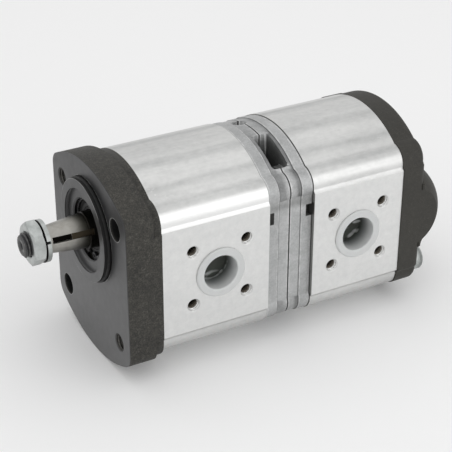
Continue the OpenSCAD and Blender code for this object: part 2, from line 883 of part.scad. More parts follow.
module drive_gear_shaft() {
    taper_edge = 0.3;
    shoulder = 0.5;
    centre_r = 2.5;
    color(steel) difference() {
        union() {
            turned([
                [0, stud_x], [thread_r - stud_chamfer, stud_x], [thread_r, stud_x + stud_chamfer],
                [thread_r, taper_end_x - relief_l - relief_depth / 2], [relief_r, taper_end_x - relief_l],
                [relief_r, taper_end_x], [taper_small_r - taper_edge, taper_end_x],
                [taper_small_r, taper_end_x + taper_edge], [taper_r, -taper_front_x],
                [journal_r, -taper_front_x + shoulder], [journal_r, front_plate_x + plate_end_l],
                [0, front_plate_x + plate_end_l]
            ]);
            gear(front_gear_x, drive_phase);
            along_x(front_plate_x, plate_l - shaft_end_gap) spline_outline();
        }
        cone(stud_x - lead, stud_x + centre_r - lead, centre_r + lead, lead);
        keyway();
    }
}

// A deep stretch that stops short of the thread, then a shallow tail up to the seal.
module keyway() {
    front_x = taper_end_x + key_front;
    tail_x = front_x + key_l - over;
    rotate([key_angle, 0, 0]) {
        translate([front_x, taper_small_r - key_depth, -key_w / 2]) cube([key_l, taper_r, key_w]);
        translate([tail_x, taper_r - key_tail_depth, -key_w / 2])
            cube([-key_tail_x - tail_x, taper_r, key_w]);
    }
}

module front_driven_gear() {
    color(steel) driven_gear(front_body_x, front_plate_x, front_gear_x);
}

module coupling_sleeve() {
    half_l = sleeve_half_l - sleeve_end_gap;
    color(steel) along_x(joint_x - half_l, 2 * half_l)
        difference() {
            circle(coupling_r - sleeve_gap);
            spline_outline(2 * seat_gap);
        }
}

module rear_drive_gear() {
    color(steel) {
        rod(rear_body_x - plate_end_l, rear_cover_x - journal_end_gap, journal_r);
        gear(rear_gear_x, drive_phase);
        along_x(joint_x + shaft_end_gap, plate_l) spline_outline();
    }
}

module rear_driven_gear() {
    color(steel) driven_gear(rear_body_x, rear_cover_x, rear_gear_x);
}

// Shaft seal, its spring and its retaining ring

// A stiff case with a web at its front and a lip that leans back onto the shaft.
module shaft_seal() {
    x0 = shaft_seal_depth;
    case_r = shaft_seal_r - 2.1;
    web_x = x0 + 1.9;
    arm_x = x0 + 5.2;
    nose_x = x0 + 1.2;
    root = 2.2;
    arm = 1.8;
    beak = 0.6;
    nose = 1;
    front = 0.2;
    color(rubber) turned([
        [shaft_seal_r, x0], [shaft_seal_r, shaft_seal_end], [case_r, shaft_seal_end], [case_r, web_x],
        [bore_r + root, web_x], [bore_r + arm, arm_x], [bore_r + beak, arm_x],
        [bore_r, x0 + lip_x], [bore_r + nose, nose_x], [bore_r + front, x0]
    ]);
}

// The garter spring round the back of the lip.
module seal_spring() {
    wire_r = 0.65;
    seat_r = bore_r + 1.9 + seat_gap;
    color(steel) cord_ring(shaft_seal_depth + lip_x, seat_r + wire_r, wire_r);
}

// A bore ring with a gap at the bottom and a lug with a hole at each end of the gap.
module seal_retaining_ring() {
    r_out = retaining_groove_r - 2 * seat_gap;
    thick_w = 2;
    off_centre = 0.5;
    gap_a = 12;
    lug_a = gap_a + 5;
    lug_r = 1.9;
    lug_inset = 2.4;
    hole_r = 0.8;
    hole_inset = 2.5;
    color(dark_steel)
        along_x(shaft_seal_depth - retaining_t, retaining_t - seat_gap) difference() {
            union() {
                difference() {
                    circle(r_out);
                    translate([0, off_centre]) circle(r_out - thick_w);
                    polygon([[0, 0], polar(2 * r_out, -90 - gap_a), polar(2 * r_out, -90 + gap_a)]);
                }
                for (s = [-1, 1]) translate(polar(r_out - lug_inset, -90 + s * lug_a)) circle(lug_r);
            }
            for (s = [-1, 1]) translate(polar(r_out - hole_inset, -90 + s * lug_a)) circle(hole_r);
        }
}

// Fasteners

module assembly_bolts() {
    head_x = spotface_x + washer_t;
    tip = 0.8;
    color(zinc_plate) at_long_screws() difference() {
        union() {
            rod(screw_end_gap + tip, head_x + over, screw_r);
            cone(screw_end_gap, screw_end_gap + tip, screw_r - tip, screw_r);
            turned([
                [0, head_x], [screw_head_r, head_x], [screw_head_r, head_x + screw_head_h - mouth],
                [screw_head_r - mouth, head_x + screw_head_h], [0, head_x + screw_head_h]
            ]);
        }
        translate([head_x + screw_head_h / 2, 0, 0]) rotate([0, 90, 0])
            cylinder(h = screw_head_h, r = socket_af / 2 / cos(30), $fn = 6);
    }
}

module bolt_washers() {
    play = 0.2;
    color(zinc_plate) at_long_screws()
        ring(spotface_x, spotface_x + washer_t, screw_head_r, screw_r + play);
}

module dowel_pins() {
    color(steel)
        for (x = [front_body_x, front_plate_x, joint_x, rear_body_x, rear_cover_x])
            at_dowels() rod(x - dowel_l / 2, x + dowel_l / 2, dowel_r);
}

// A hexagon with both ends turned off at 30 degrees, on the thread.
module shaft_nut() {
    corner_r = nut_af / 2 / cos(30);
    face_step = 0.3;
    face_r = nut_af / 2 - face_step;
    slope = (corner_r + over - face_r) * tan(30);
    color(zinc_plate) intersection() {
        difference() {
            rotate([nut_turn, 0, 0]) along_x(nut_x, nut_t) circle(corner_r, $fn = 6);
            rod(nut_x - over, nut_x + nut_t + over, thread_r + seat_gap);
            mouth_cut(nut_x, thread_r + seat_gap, -1);
            mouth_cut(nut_x + nut_t, thread_r + seat_gap, 1);
        }
        turned([
            [0, nut_x], [face_r, nut_x], [corner_r + over, nut_x + slope],
            [corner_r + over, nut_x + nut_t - slope], [face_r, nut_x + nut_t], [0, nut_x + nut_t]
        ]);
    }
}

// A split ring: the slot is cut a little askew.
module lock_washer() {
    play = 0.2;
    split_w = 1.2;
    split_skew = 8;
    color(zinc_plate) difference() {
        ring(lock_washer_x, lock_washer_x + lock_washer_t, lock_washer_r, thread_r + play);
        rotate([split_angle, 0, 0]) translate([lock_washer_x - over, 0, -split_w / 2])
            rotate([0, 0, split_skew]) cube([lock_washer_t + 2 * over, 2 * thread_r, split_w]);
    }
}

// Transit plugs

// A cup with a flat lip on the port face and three ribs that grip the bore.
module transit_plug(x, side, bore) {
    r = bore - plug_gap;
    face = port_face_half_w;
    end = face - plug_depth;
    step = plug_depth / 4;
    wall_r = r - plug_rib;
    inner_r = wall_r - plug_wall;
    top = face + plug_lip_t;
    rib_foot = 0.6;
    rib_crest = 0.2;
    end_edge = 1;
    lip_edge = 0.5;
    lip_fall = 0.4;
    lip_slope = 0.6;
    draft = 0.4;
    color(plastic) at_port(x, side) rotate_extrude() polygon([
        [0, end], [wall_r - end_edge, end], [wall_r, end + end_edge],
        for (k = [1:3]) each [
            [wall_r, end + k * step - rib_foot], [r, end + k * step - rib_crest],
            [r, end + k * step + rib_crest], [wall_r, end + k * step + rib_foot]
        ],
        [wall_r, face], [bore + plug_lip, face], [bore + plug_lip, top - lip_fall],
        [bore + plug_lip - lip_slope, top], [inner_r + lip_edge, top], [inner_r, top - lip_edge],
        [inner_r - draft, end + plug_wall], [0, end + plug_wall]
    ]);
}

module front_inlet_plug() {
    transit_plug(front_port_x, -1, inlet_r);
}

module rear_inlet_plug() {
    transit_plug(rear_port_x, -1, inlet_r);
}

module front_outlet_plug() {
    transit_plug(front_port_x, 1, outlet_r);
}

module rear_outlet_plug() {
    transit_plug(rear_port_x, 1, outlet_r);
}

front_cover();
pilot_o_ring();
shaft_seal();
seal_spring();
seal_retaining_ring();
front_body();
rear_body();
body_seals();
front_stage_front_block();
front_stage_rear_block();
rear_stage_front_block();
rear_stage_rear_block();
bearing_bushes();
axial_seals();
seal_backups();
drive_gear_shaft();
front_driven_gear();
coupling_sleeve();
rear_drive_gear();
rear_driven_gear();
front_plate();
rear_plate();
plate_shaft_seals();
rear_cover();
assembly_bolts();
bolt_washers();
dowel_pins();
shaft_nut();
lock_washer();
front_inlet_plug();
rear_inlet_plug();
front_outlet_plug();
rear_outlet_plug();
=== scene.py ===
# Looks of a tandem gear pump, piece by piece in the order in which it is put together.
# Lengths are metres in the pump's own frame: x along the drive shaft to the rear cover, z up,
# with the origin on the shaft's axis in the plane of the mounting face.
import json
from math import cos, pi, radians, sin

import bmesh
import bpy
import numpy as np
from mathutils import Matrix, Vector

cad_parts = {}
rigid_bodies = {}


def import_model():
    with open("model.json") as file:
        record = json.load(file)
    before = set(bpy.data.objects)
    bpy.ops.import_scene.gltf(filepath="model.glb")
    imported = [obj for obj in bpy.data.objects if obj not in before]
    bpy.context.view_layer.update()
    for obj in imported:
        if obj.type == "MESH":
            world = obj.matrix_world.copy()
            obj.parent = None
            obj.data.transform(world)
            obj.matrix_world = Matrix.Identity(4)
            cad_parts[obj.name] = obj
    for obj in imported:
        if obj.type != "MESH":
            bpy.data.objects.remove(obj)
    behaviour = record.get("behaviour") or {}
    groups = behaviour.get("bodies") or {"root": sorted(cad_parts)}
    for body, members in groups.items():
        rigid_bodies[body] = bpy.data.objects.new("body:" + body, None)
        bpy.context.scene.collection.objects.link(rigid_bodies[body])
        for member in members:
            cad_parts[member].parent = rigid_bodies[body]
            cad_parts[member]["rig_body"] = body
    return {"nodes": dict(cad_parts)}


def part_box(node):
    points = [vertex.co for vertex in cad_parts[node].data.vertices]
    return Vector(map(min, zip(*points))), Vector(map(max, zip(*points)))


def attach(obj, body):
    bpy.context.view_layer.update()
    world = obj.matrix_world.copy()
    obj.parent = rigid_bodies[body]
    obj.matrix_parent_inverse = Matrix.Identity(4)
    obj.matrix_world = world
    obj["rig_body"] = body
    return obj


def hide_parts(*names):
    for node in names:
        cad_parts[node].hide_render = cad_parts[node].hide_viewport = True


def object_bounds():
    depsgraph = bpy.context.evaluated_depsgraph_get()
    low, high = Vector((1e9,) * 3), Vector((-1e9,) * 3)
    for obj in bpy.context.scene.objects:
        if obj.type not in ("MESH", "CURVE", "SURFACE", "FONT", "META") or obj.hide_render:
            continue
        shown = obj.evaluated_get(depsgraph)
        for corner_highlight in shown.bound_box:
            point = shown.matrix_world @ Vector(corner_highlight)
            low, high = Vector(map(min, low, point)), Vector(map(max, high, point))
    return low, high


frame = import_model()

MM = 0.001
cad_box = [list(corner_highlight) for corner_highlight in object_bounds()]


# Camera and lamps. The pump lies in a light tent with a broad soft roof, a panel to the right of the
# camera that whitens the bodies' edges, and a weak one before the shaft end.

VIEW_AZIMUTH = radians(-28.895)
VIEW_HEIGHT = radians(29.078)
VIEW_ROLL = radians(0.183)
VIEW_DISTANCE = 678.83 * MM
VIEW_TARGET = Vector((73.193, 0, -17.886)) * MM
LENS_PER_WIDTH = 1368.4 / 452
SENSOR_WIDTH = 36

level = cos(VIEW_HEIGHT)
back = Vector((sin(VIEW_AZIMUTH) * level, -cos(VIEW_AZIMUTH) * level, sin(VIEW_HEIGHT)))
camera = bpy.data.objects.new("photo_camera", bpy.data.cameras.new("photo_camera"))
bpy.context.scene.collection.objects.link(camera)
camera.data.sensor_width = SENSOR_WIDTH
camera.data.lens = LENS_PER_WIDTH * SENSOR_WIDTH
camera.data.clip_start = 10 * MM
camera.matrix_world = (
    Matrix.Translation(VIEW_TARGET + VIEW_DISTANCE * back)
    @ back.to_track_quat("Z", "Y").to_matrix().to_4x4()
    @ Matrix.Rotation(VIEW_ROLL, 4, "Z")
)
bpy.context.scene.camera = camera
bpy.context.scene.view_settings.view_transform = "Standard"


def soft_lamp(name, place, aim, size, power):
    """An area lamp of that size in metres at a place, turned so that it faces its aim."""
    lamp = bpy.data.objects.new(name, bpy.data.lights.new(name, "AREA"))
    bpy.context.scene.collection.objects.link(lamp)
    lamp.data.shape = "RECTANGLE"
    lamp.data.size, lamp.data.size_y = size
    lamp.data.energy = power
    direction = Vector(place) - Vector(aim)
    lamp.matrix_world = Matrix.Translation(place) @ direction.to_track_quat("Z", "Y").to_matrix().to_4x4()


PUMP_MIDDLE = (0.07, 0, 0)
LAMPS = {
    "tent_roof": ((0.15, 0.00, 0.85), (1.5, 1.0), 1.3),
    "tent_panel": ((0.48, -0.82, 0.36), (0.75, 0.75), 1.35),
    "tent_front": ((-0.75, -0.25, 0.40), (0.6, 0.6), 0.35),
}
for lamp_name, (lamp_place, lamp_size, lamp_power) in LAMPS.items():
    soft_lamp(lamp_name, lamp_place, PUMP_MIDDLE, lamp_size, lamp_power)


# Table and tent. The tent's cloth lights the pump evenly from all round and looks white to the camera and
# through clear plastic. The table top is matt white paper that glows a little and holds the soft shadow.

TENT_LIGHT = 0.80
TENT_WHITE = (0.88, 0.88, 0.88, 1)
WHITE = (1, 1, 1, 1)
PAPER_WHITE = (0.93, 0.93, 0.93, 1)
PAPER_GLOW = 0.08
PAPER_HALF = 6


class Wire:
    """One value on its way through a material. Arithmetic on it adds Math nodes."""

    def __init__(self, finish, socket):
        self.finish = finish
        self.socket = socket

    def math(self, operation, first, second=0.5, clamp=False):
        settings = {"operation": operation, "use_clamp": clamp}
        return self.finish.node("ShaderNodeMath", settings, {0: first, 1: second})

    def __add__(self, other):
        return self.math("ADD", self, other)

    __radd__ = __add__

    def __sub__(self, other):
        return self.math("SUBTRACT", self, other)

    def __rsub__(self, other):
        return self.math("SUBTRACT", other, self)

    def __mul__(self, other):
        return self.math("MULTIPLY", self, other)

    __rmul__ = __mul__

    def __pow__(self, other):
        return self.math("POWER", self, other)

    def __gt__(self, other):
        return self.math("GREATER_THAN", self, other)

    def __lt__(self, other):
        return self.math("LESS_THAN", self, other)

    def size(self):
        return self.math("ABSOLUTE", self)

    def kept(self):
        """The value held between 0 and 1."""
        return self.math("ADD", self, 0, clamp=True)

    def rise(self, low, high):
        """0 below low, 1 above high and a soft step between."""
        return self.finish.node(
            "ShaderNodeMapRange",
            {"interpolation_type": "SMOOTHSTEP"},
            {"Value": self, "From Min": low, "From Max": high},
        )


class NodeTree:
    """The nodes of a world or a material under construction."""

    def __init__(self, owner):
        owner.use_nodes = True
        self.tree = owner.node_tree

    def node(self, kind, settings, sockets, output=0):
        """Adds a node, sets its settings, then fills its sockets with numbers, colours or wires."""
        node = self.tree.nodes.new(kind)
        for name, value in settings.items():
            setattr(node, name, value)
        for name, value in sockets.items():
            if isinstance(value, Wire):
                self.tree.links.new(value.socket, node.inputs[name])
            else:
                node.inputs[name].default_value = value
        return Wire(self, node.outputs[output])

    def show(self, wire, output):
        """Leads a shader's wire to the tree's output node of that name."""
        self.tree.links.new(wire.socket, self.tree.nodes[output].inputs["Surface"])


class Finish(NodeTree):
    """A material under construction: its shader's fixed values first, then what varies over a surface."""

    def __init__(self, name, **fixed):
        self.material = bpy.data.materials.new(name)
        super().__init__(self.material)
        self.shader = self.tree.nodes["Principled BSDF"]
        for socket, value in fixed.items():
            self.shader.inputs[socket.replace("_", " ")].default_value = value
        self.place = self.node("ShaderNodeTexCoord", {}, {}, "Object")
        self.x, self.y, self.z = (
            self.node("ShaderNodeSeparateXYZ", {}, {0: self.place}, axis) for axis in "XYZ"
        )

    def noise(self, scale, detail=2.0, stretch=(1, 1, 1), rough=0.5):
        """Cloudy noise around 0.5, with scale cycles a metre, stretched by a factor along each axis."""
        shrink = [1 / s for s in stretch]
        place = self.node("ShaderNodeMapping", {}, {"Vector": self.place, "Scale": shrink})
        sockets = {"Vector": place, "Scale": scale, "Detail": detail, "Roughness": rough}
        return self.node("ShaderNodeTexNoise", {}, sockets)

    def cells(self, scale):
        """Distance to the nearest of scattered points, about scale of them a metre."""
        return self.node("ShaderNodeTexVoronoi", {}, {"Vector": self.place, "Scale": scale}, "Distance")

    def mix(self, factor, first, second):
        """A colour on the way from first to second."""
        settings = {"data_type": "RGBA", "clamp_factor": True}
        return self.node("ShaderNodeMix", settings, {0: factor, 6: first, 7: second}, 2)

    def radius(self, y=0, z=0):
        """Distance from the line along x through y and z."""
        return ((self.y - y) ** 2 + (self.z - z) ** 2) ** 0.5

    def feed(self, socket, value):
        """Leads a wire into one of the shader's sockets."""
        self.tree.links.new(value.socket, self.shader.inputs[socket])

    def bump(self, height, depth):
        """Relief whose height value of 1 stands depth metres out of the surface."""
        self.feed("Normal", self.node("ShaderNodeBump", {}, {"Height": height * depth, "Distance": 1.0}))


bpy.context.scene.world = bpy.data.worlds.new("tent")
tent = NodeTree(bpy.context.scene.world)
tent.tree.nodes.remove(tent.tree.nodes["Background"])
tent_light = tent.node("ShaderNodeBackground", {}, {"Color": WHITE, "Strength": TENT_LIGHT})
tent_cloth = tent.node("ShaderNodeBackground", {}, {"Color": TENT_WHITE})
camera_rays = tent.node("ShaderNodeLightPath", {}, {}, "Is Camera Ray")
clear_rays = tent.node("ShaderNodeLightPath", {}, {}, "Is Transmission Ray")
seen = camera_rays.math("MAXIMUM", camera_rays, clear_rays)
tent.show(tent.node("ShaderNodeMixShader", {}, {0: seen, 1: tent_light, 2: tent_cloth}), "World Output")

floor_z = cad_box[0][2]
floor_mesh = bpy.data.meshes.new("table_top")
quarters = ((-1, -1), (1, -1), (1, 1), (-1, 1))
paper_corners = [(PAPER_HALF * u, PAPER_HALF * v, floor_z) for u, v in quarters]
floor_mesh.from_pydata(paper_corners, [], [(0, 1, 2, 3)])
floor = bpy.data.objects.new("table_top", floor_mesh)
bpy.context.scene.collection.objects.link(floor)
paper = Finish("table_paper", Base_Color=PAPER_WHITE, Roughness=0.75, Specular_IOR_Level=0.2)
glow = paper.node("ShaderNodeEmission", {}, {"Color": WHITE, "Strength": 1.0})
ray_kinds = ("Is Camera Ray", "Is Glossy Ray", "Is Transmission Ray")
rays = [paper.node("ShaderNodeLightPath", {}, {}, kind) for kind in ray_kinds]
seen_paper = (rays[0] + rays[1] + rays[2]).kept()
matt = Wire(paper, paper.shader.outputs[0])
lifted = paper.node("ShaderNodeMixShader", {}, {0: seen_paper * PAPER_GLOW, 1: matt, 2: glow})
paper.show(lifted, "Material Output")
floor_mesh.materials.append(paper.material)


# Front cover: a grey iron casting with a sand-cast rim, dipped black after its mounting face, pilot and
# bores were machined. The casting skin is grainy and slightly brown, the cut faces smoother and greyer.
# The two tapped corners hold the ends of the pump's own long screws.

CAD_BODY = {name: obj["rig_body"] for name, obj in frame["nodes"].items()}


def fitted(obj, body, slot, *replaced):
    """Sends a finished piece with its body and hides the solids it stands for. Its slot is not used."""
    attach(obj, body)
    if replaced:
        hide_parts(*replaced)
    return obj


def new_piece(name, points, faces, finish):
    """An object at the origin from an array of points and an array of faces."""
    mesh = bpy.data.meshes.new(name)
    mesh.from_pydata(np.asarray(points, float).tolist(), [], np.asarray(faces).tolist())
    mesh.polygons.foreach_set("use_smooth", np.full(len(mesh.polygons), True))
    mesh.materials.append(finish.material)
    obj = bpy.data.objects.new(name, mesh)
    bpy.context.scene.collection.objects.link(obj)
    return obj


def soften(obj, width, segments=2, angle=32, share=None):
    """Rounds every edge sharper than the angle, then shades large faces flat and the roundings smooth.
    share(middles, steps) may give each edge, from its middle and its length along x, a share of the
    width."""
    bevel = obj.modifiers.new("edge_rounding", "BEVEL")
    bevel.width = width
    bevel.segments = segments
    bevel.use_clamp_overlap = True
    bevel.miter_outer = "MITER_ARC"
    if share is None:
        bevel.limit_method = "ANGLE"
        bevel.angle_limit = radians(angle)
    else:
        bevel.limit_method = "WEIGHT"
        mesh = obj.data
        points = np.empty(len(mesh.vertices) * 3)
        mesh.vertices.foreach_get("co", points)
        ends = np.empty(len(mesh.edges) * 2, dtype=np.int64)
        mesh.edges.foreach_get("vertices", ends)
        pairs = points.reshape(-1, 3)[ends.reshape(-1, 2)]
        work = bmesh.new()
        work.from_mesh(mesh)
        fold = radians(angle)
        sharp = np.array(
            [e.is_manifold and e.is_convex and e.calc_face_angle() > fold for e in work.edges]
        )
        work.free()
        weights = share(pairs.mean(1), np.abs(pairs[:, 0, 0] - pairs[:, 1, 0])) * sharp
        layer = mesh.attributes.new("bevel_weight_edge", "FLOAT", "EDGE")
        layer.data.foreach_set("value", weights.astype(np.float32))
    weight = obj.modifiers.new("flat_faces", "WEIGHTED_NORMAL")
    weight.keep_sharp = True


WELD = 0.002 * MM
SLIVER = 0.001 * MM
SAME_POINT = 0.0001 * MM
FLAT = radians(0.4)


def solid_copy(node, name, finish, keep=None):
    """A copy of a solid's surface with its loose triangles joined and flat ones merged. keep(point) says
    which points stay."""
    source = frame["nodes"][node].data
    points = np.empty(len(source.vertices) * 3)
    source.vertices.foreach_get("co", points)
    corners = np.empty(len(source.loops), dtype=np.int64)
    source.loops.foreach_get("vertex_index", corners)
    copy = new_piece(name, points.reshape(-1, 3), corners.reshape(-1, 3), finish)
    work = bmesh.new()
    work.from_mesh(copy.data)
    bmesh.ops.remove_doubles(work, verts=work.verts, dist=WELD)
    if keep is not None:
        bmesh.ops.delete(work, geom=[v for v in work.verts if not keep(v.co)], context="VERTS")
    bmesh.ops.dissolve_degenerate(work, dist=SLIVER, edges=work.edges)
    bmesh.ops.dissolve_limit(work, angle_limit=FLAT, verts=work.verts, edges=work.edges)
    work.to_mesh(copy.data)
    work.free()
    return copy


def dressed(node, slot, finish, width, segments=2, angle=32, share=None):
    """A solid's smooth copy with rounded edges, which stands for the solid."""
    copy = solid_copy(node, node + "_finished", finish)
    soften(copy, width, segments, angle, share)
    return fitted(copy, CAD_BODY[node], slot, node)


AXES_MIDDLE = -16 * MM
BOLT_PLACE = 30 * MM
BOLT_CLEAR = 6.4 * MM
IN_PLANE = 0.01 * MM


def rim_share(planes, inner=36 * MM, rest=0.0):
    """The whole width for edges that lie in one of the planes across the shaft, further than inner from
    the line midway between the gear axes and clear of the bolt holes, and the share rest for others."""

    def share(middles, steps):
        y, z = np.abs(middles[:, 1]), np.abs(middles[:, 2] - AXES_MIDDLE)
        clear = np.hypot(y - BOLT_PLACE, z - BOLT_PLACE) > BOLT_CLEAR
        flat = (steps < SLIVER) & (np.abs(middles[:, :1] - np.array(planes)).min(1) < IN_PLANE)
        return np.where((np.hypot(y, z) > inner) & clear & flat, 1.0, rest)

    return share


CAST_DARK = (0.004, 0.004, 0.003, 1)
CAST_BROWN = (0.054, 0.050, 0.040, 1)
CAST_PALE = (0.115, 0.112, 0.102, 1)
CUT_FACE = (0.018, 0.018, 0.019, 1)
CUT_PALE = (0.082, 0.082, 0.083, 1)
PAINTED_HOLE_SHADE = (0.004, 0.004, 0.004, 1)
MOUNT_HOLES = [(BOLT_PLACE, AXES_MIDDLE - BOLT_PLACE), (-BOLT_PLACE, AXES_MIDDLE + BOLT_PLACE)]
MOUNT_HOLE_RADIUS = 5.5 * MM
PILOT_RADIUS = 25 * MM
PILOT_HEIGHT = 3.4 * MM
EDGE_HIGHLIGHT = (0.34, 0.34, 0.33, 1)
CAST_EDGE = 1.0 * MM
COVER_PLANES = [0.0, 14 * MM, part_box("front_cover")[1].x]


def painted_edge_highlights(finish):
    """1 in patches on thin rings of the front cover, where edge highlights are painted: the pilot's front
    edge, the rim of its ring's groove and the mouths of the mounting holes."""

    def ring(distance, radius):
        return 1 - (distance - radius).size().rise(0.10 * MM, 0.22 * MM)

    rings = ring(finish.radius(), PILOT_RADIUS + 0.9 * MM)
    for y, z in MOUNT_HOLES:
        rings = rings + ring(finish.radius(y, z), MOUNT_HOLE_RADIUS + 0.1 * MM)
    at_face = 1 - finish.x.size().rise(0.1 * MM, 0.2 * MM)
    at_front = 1 - (finish.x + PILOT_HEIGHT).size().rise(0.12 * MM, 0.22 * MM)
    pilot_edge = ring(finish.radius(), PILOT_RADIUS) * at_front
    return ((rings * at_face) + pilot_edge).kept() * finish.noise(90, 3).rise(0.40, 0.60)


def black_casting(name, cut, holes, grains=1.0, edges=None):
    """Blackened iron: cut(finish) gives 1 on machined faces and 0 on the casting skin, whose grain shows
    by the share called grains. holes(finish) gives 1 where shade is painted black, and edges(finish)
    where edge highlights are painted pale. Machined faces are painted paler low down, a painted gradient
    of light."""
    finish = Finish(name, Metallic=0.0, Specular_IOR_Level=0.5, IOR=1.5)
    machined = cut(finish)
    skin = 1 - machined
    patches = finish.noise(60, 4)
    grain = finish.noise(1500, 3, rough=0.6)
    coarse = finish.noise(420, 4, rough=0.65)
    pits = 1 - finish.cells(900).rise(0.05, 0.32)
    cloudy = (patches * 0.5 + coarse * 0.9 + grain * 2.2 - 1.8) * grains
    crests = grain.rise(0.53, 0.68) * coarse.rise(0.42, 0.62) * 0.45 * grains
    cast = finish.mix((cloudy + 0.45).kept(), CAST_DARK, CAST_BROWN)
    cast = finish.mix(crests, cast, CAST_PALE)
    faint = finish.noise(38, 4, rough=0.6).rise(0.35, 0.72)
    hole_shade = holes(finish)
    # Machined faces get a painted gradient of light, paler low down.
    film = finish.mix(finish.z.rise(-46 * MM, 22 * MM), CUT_PALE, CUT_FACE)
    colour = finish.mix(machined, cast, finish.mix(faint * 0.25, film, CUT_PALE))
    # Pale rings from edges(finish) are painted edge highlights.
    if edges is not None:
        colour = finish.mix(edges(finish) * 0.8, colour, EDGE_HIGHLIGHT)
    # Painted shade: the hole walls and the pilot's rim are painted black.
    finish.feed("Base Color", finish.mix(hole_shade, colour, PAINTED_HOLE_SHADE))
    matt = skin * (0.52 + grain * 0.22) + machined * (0.30 + finish.noise(220, 3) * 0.16)
    finish.feed("Roughness", matt + hole_shade * 0.3)
    swell = finish.noise(240, 2)
    fine = finish.noise(2600, 2)
    relief = skin * (grain * 0.7 + swell * 0.9 - pits * 0.35) * grains + machined * fine * 0.03
    finish.bump(relief, 0.16 * MM)
    return finish


def in_mount_holes(finish):
    """1 on the walls of the mounting bolts' holes, a little behind their mouths, where their shade is
    painted black.
    """
    inner, outer = MOUNT_HOLE_RADIUS + 0.1 * MM, MOUNT_HOLE_RADIUS + 0.3 * MM
    near = [1 - finish.radius(y, z).rise(inner, outer) for y, z in MOUNT_HOLES]
    return (near[0] + near[1]) * finish.x.rise(0.3 * MM, 1.6 * MM)


def painted_shade_front(finish):
    """Where shade is painted black: the mounting holes' walls and the pilot's rim, down to the groove at
    its foot.
    """
    on_rim = finish.radius().rise(PILOT_RADIUS - 2.4 * MM, PILOT_RADIUS - 1.9 * MM)
    on_rim = on_rim * (1 - finish.radius().rise(PILOT_RADIUS + 0.6 * MM, PILOT_RADIUS + 0.8 * MM))
    return (in_mount_holes(finish) + on_rim * finish.x.rise(-3.3 * MM, -3.1 * MM)).kept()


def cut_front(finish):
    """1 on the machined mounting face and pilot, 0 on the cast rim behind them."""
    return 1 - finish.x.rise(0.15 * MM, 0.6 * MM)


front_casting = black_casting("blackened_iron_front", cut_front, painted_shade_front, edges=painted_edge_highlights)
FINE_SHARE = 0.25


def cover_share(middles, steps):
    """The rim's share, and a quarter of the width at the pilot's edges and the holes' mouths in front."""
    front = (steps < SLIVER) & (middles[:, 0] < 0.1 * MM)
    return np.maximum(rim_share(COVER_PLANES)(middles, steps), FINE_SHARE * front)


dressed("front_cover", "cast_black", front_casting, CAST_EDGE, 3, 28, cover_share)


def grid_faces(rows, columns, closed_rows=False, closed_columns=False):
    """Quads between the neighbours of a grid of points, counted row by row."""
    r = np.arange(rows if closed_rows else rows - 1)
    c = np.arange(columns if closed_columns else columns - 1)
    r, c = (a.ravel() for a in np.meshgrid(r, c, indexing="ij"))
    r1, c1 = (r + 1) % rows, (c + 1) % columns
    return np.stack([r * columns + c, r * columns + c1, r1 * columns + c1, r1 * columns + c], 1)


def thread_skin(x0, x1, major, depth, pitch, steps=72, per_turn=8, run_out=0.8):
    """Points of a screw thread along x from x0 to x1. The radius is the major radius less depth times a
    rounded triangle wave of (x / pitch - angle / full turn), and fades to the root at both ends over
    run_out pitches. Positive depth cuts into a rod; negative depth cuts outwards into a hole."""
    rows = int(round(abs(x1 - x0) / pitch * per_turn)) + 1
    x = np.linspace(x0, x1, rows)[:, None]
    a = np.linspace(0, 2 * pi, steps, endpoint=False)[None, :]
    phase = (x / pitch - a / (2 * pi)) % 1.0
    wave = np.clip(np.abs(phase - 0.5) * 2.5 - 0.125, 0, 1)
    ends = np.minimum(np.abs(x - x0), np.abs(x1 - x)) / (run_out * pitch)
    groove = 1 - (1 - wave) * np.clip(ends, 0, 1)
    radius = major - depth * groove
    return np.broadcast_to(x, radius.shape), radius, np.broadcast_to(a, radius.shape)


SLEEVE_START = 0.45 * MM
SLEEVE_WALL = 0.25 * MM


def thread_sleeves(name, mouths, inward, hole_r, depth, pitch, reach, finish, steps=40):
    """Cut threads in holes of one size. Each is a closed ring: its inner side is a thread skin from the
    hole's radius to depth less, and its outer side lies inside the metal. A point at distance s behind
    the mouth, radius r and angle a goes to mouth + inward s + r (side cos a + inward x side sin a)."""
    s, r, a = thread_skin(SLEEVE_START, reach, hole_r - depth, -depth, pitch, steps)
    cover_r = hole_r + SLEEVE_WALL
    s = np.vstack([s, s[-1:], s[:1]])
    r = np.vstack([r, np.full((2, steps), cover_r)])
    a = np.broadcast_to(a[:1], s.shape)
    inward = np.asarray(inward, float)
    side = np.array([0.0, 0.0, 1.0])
    other = np.cross(inward, side)
    spokes = np.cos(a)[..., None] * side + np.sin(a)[..., None] * other
    one = s[..., None] * inward + r[..., None] * spokes
    points = np.asarray(mouths, float)[:, None, None] + one[None]
    rows = s.shape[0]
    faces = grid_faces(rows, steps, True, True)[:, ::-1]
    count = rows * steps
    faces = (faces[None] + count * np.arange(len(mouths))[:, None, None]).reshape(-1, 4)
    return new_piece(name, points.reshape(-1, 3), faces, finish)


SCREW_HOLES = [(0, BOLT_PLACE, AXES_MIDDLE + BOLT_PLACE), (0, -BOLT_PLACE, AXES_MIDDLE - BOLT_PLACE)]
SCREW_THREAD = {"hole_r": 4.03 * MM, "depth": 0.62 * MM, "pitch": 1.25 * MM, "reach": 4.3 * MM}
CUT_IRON = (0.15, 0.145, 0.135, 1)
CUT_IRON_SHADE = (0.02, 0.019, 0.017, 1)
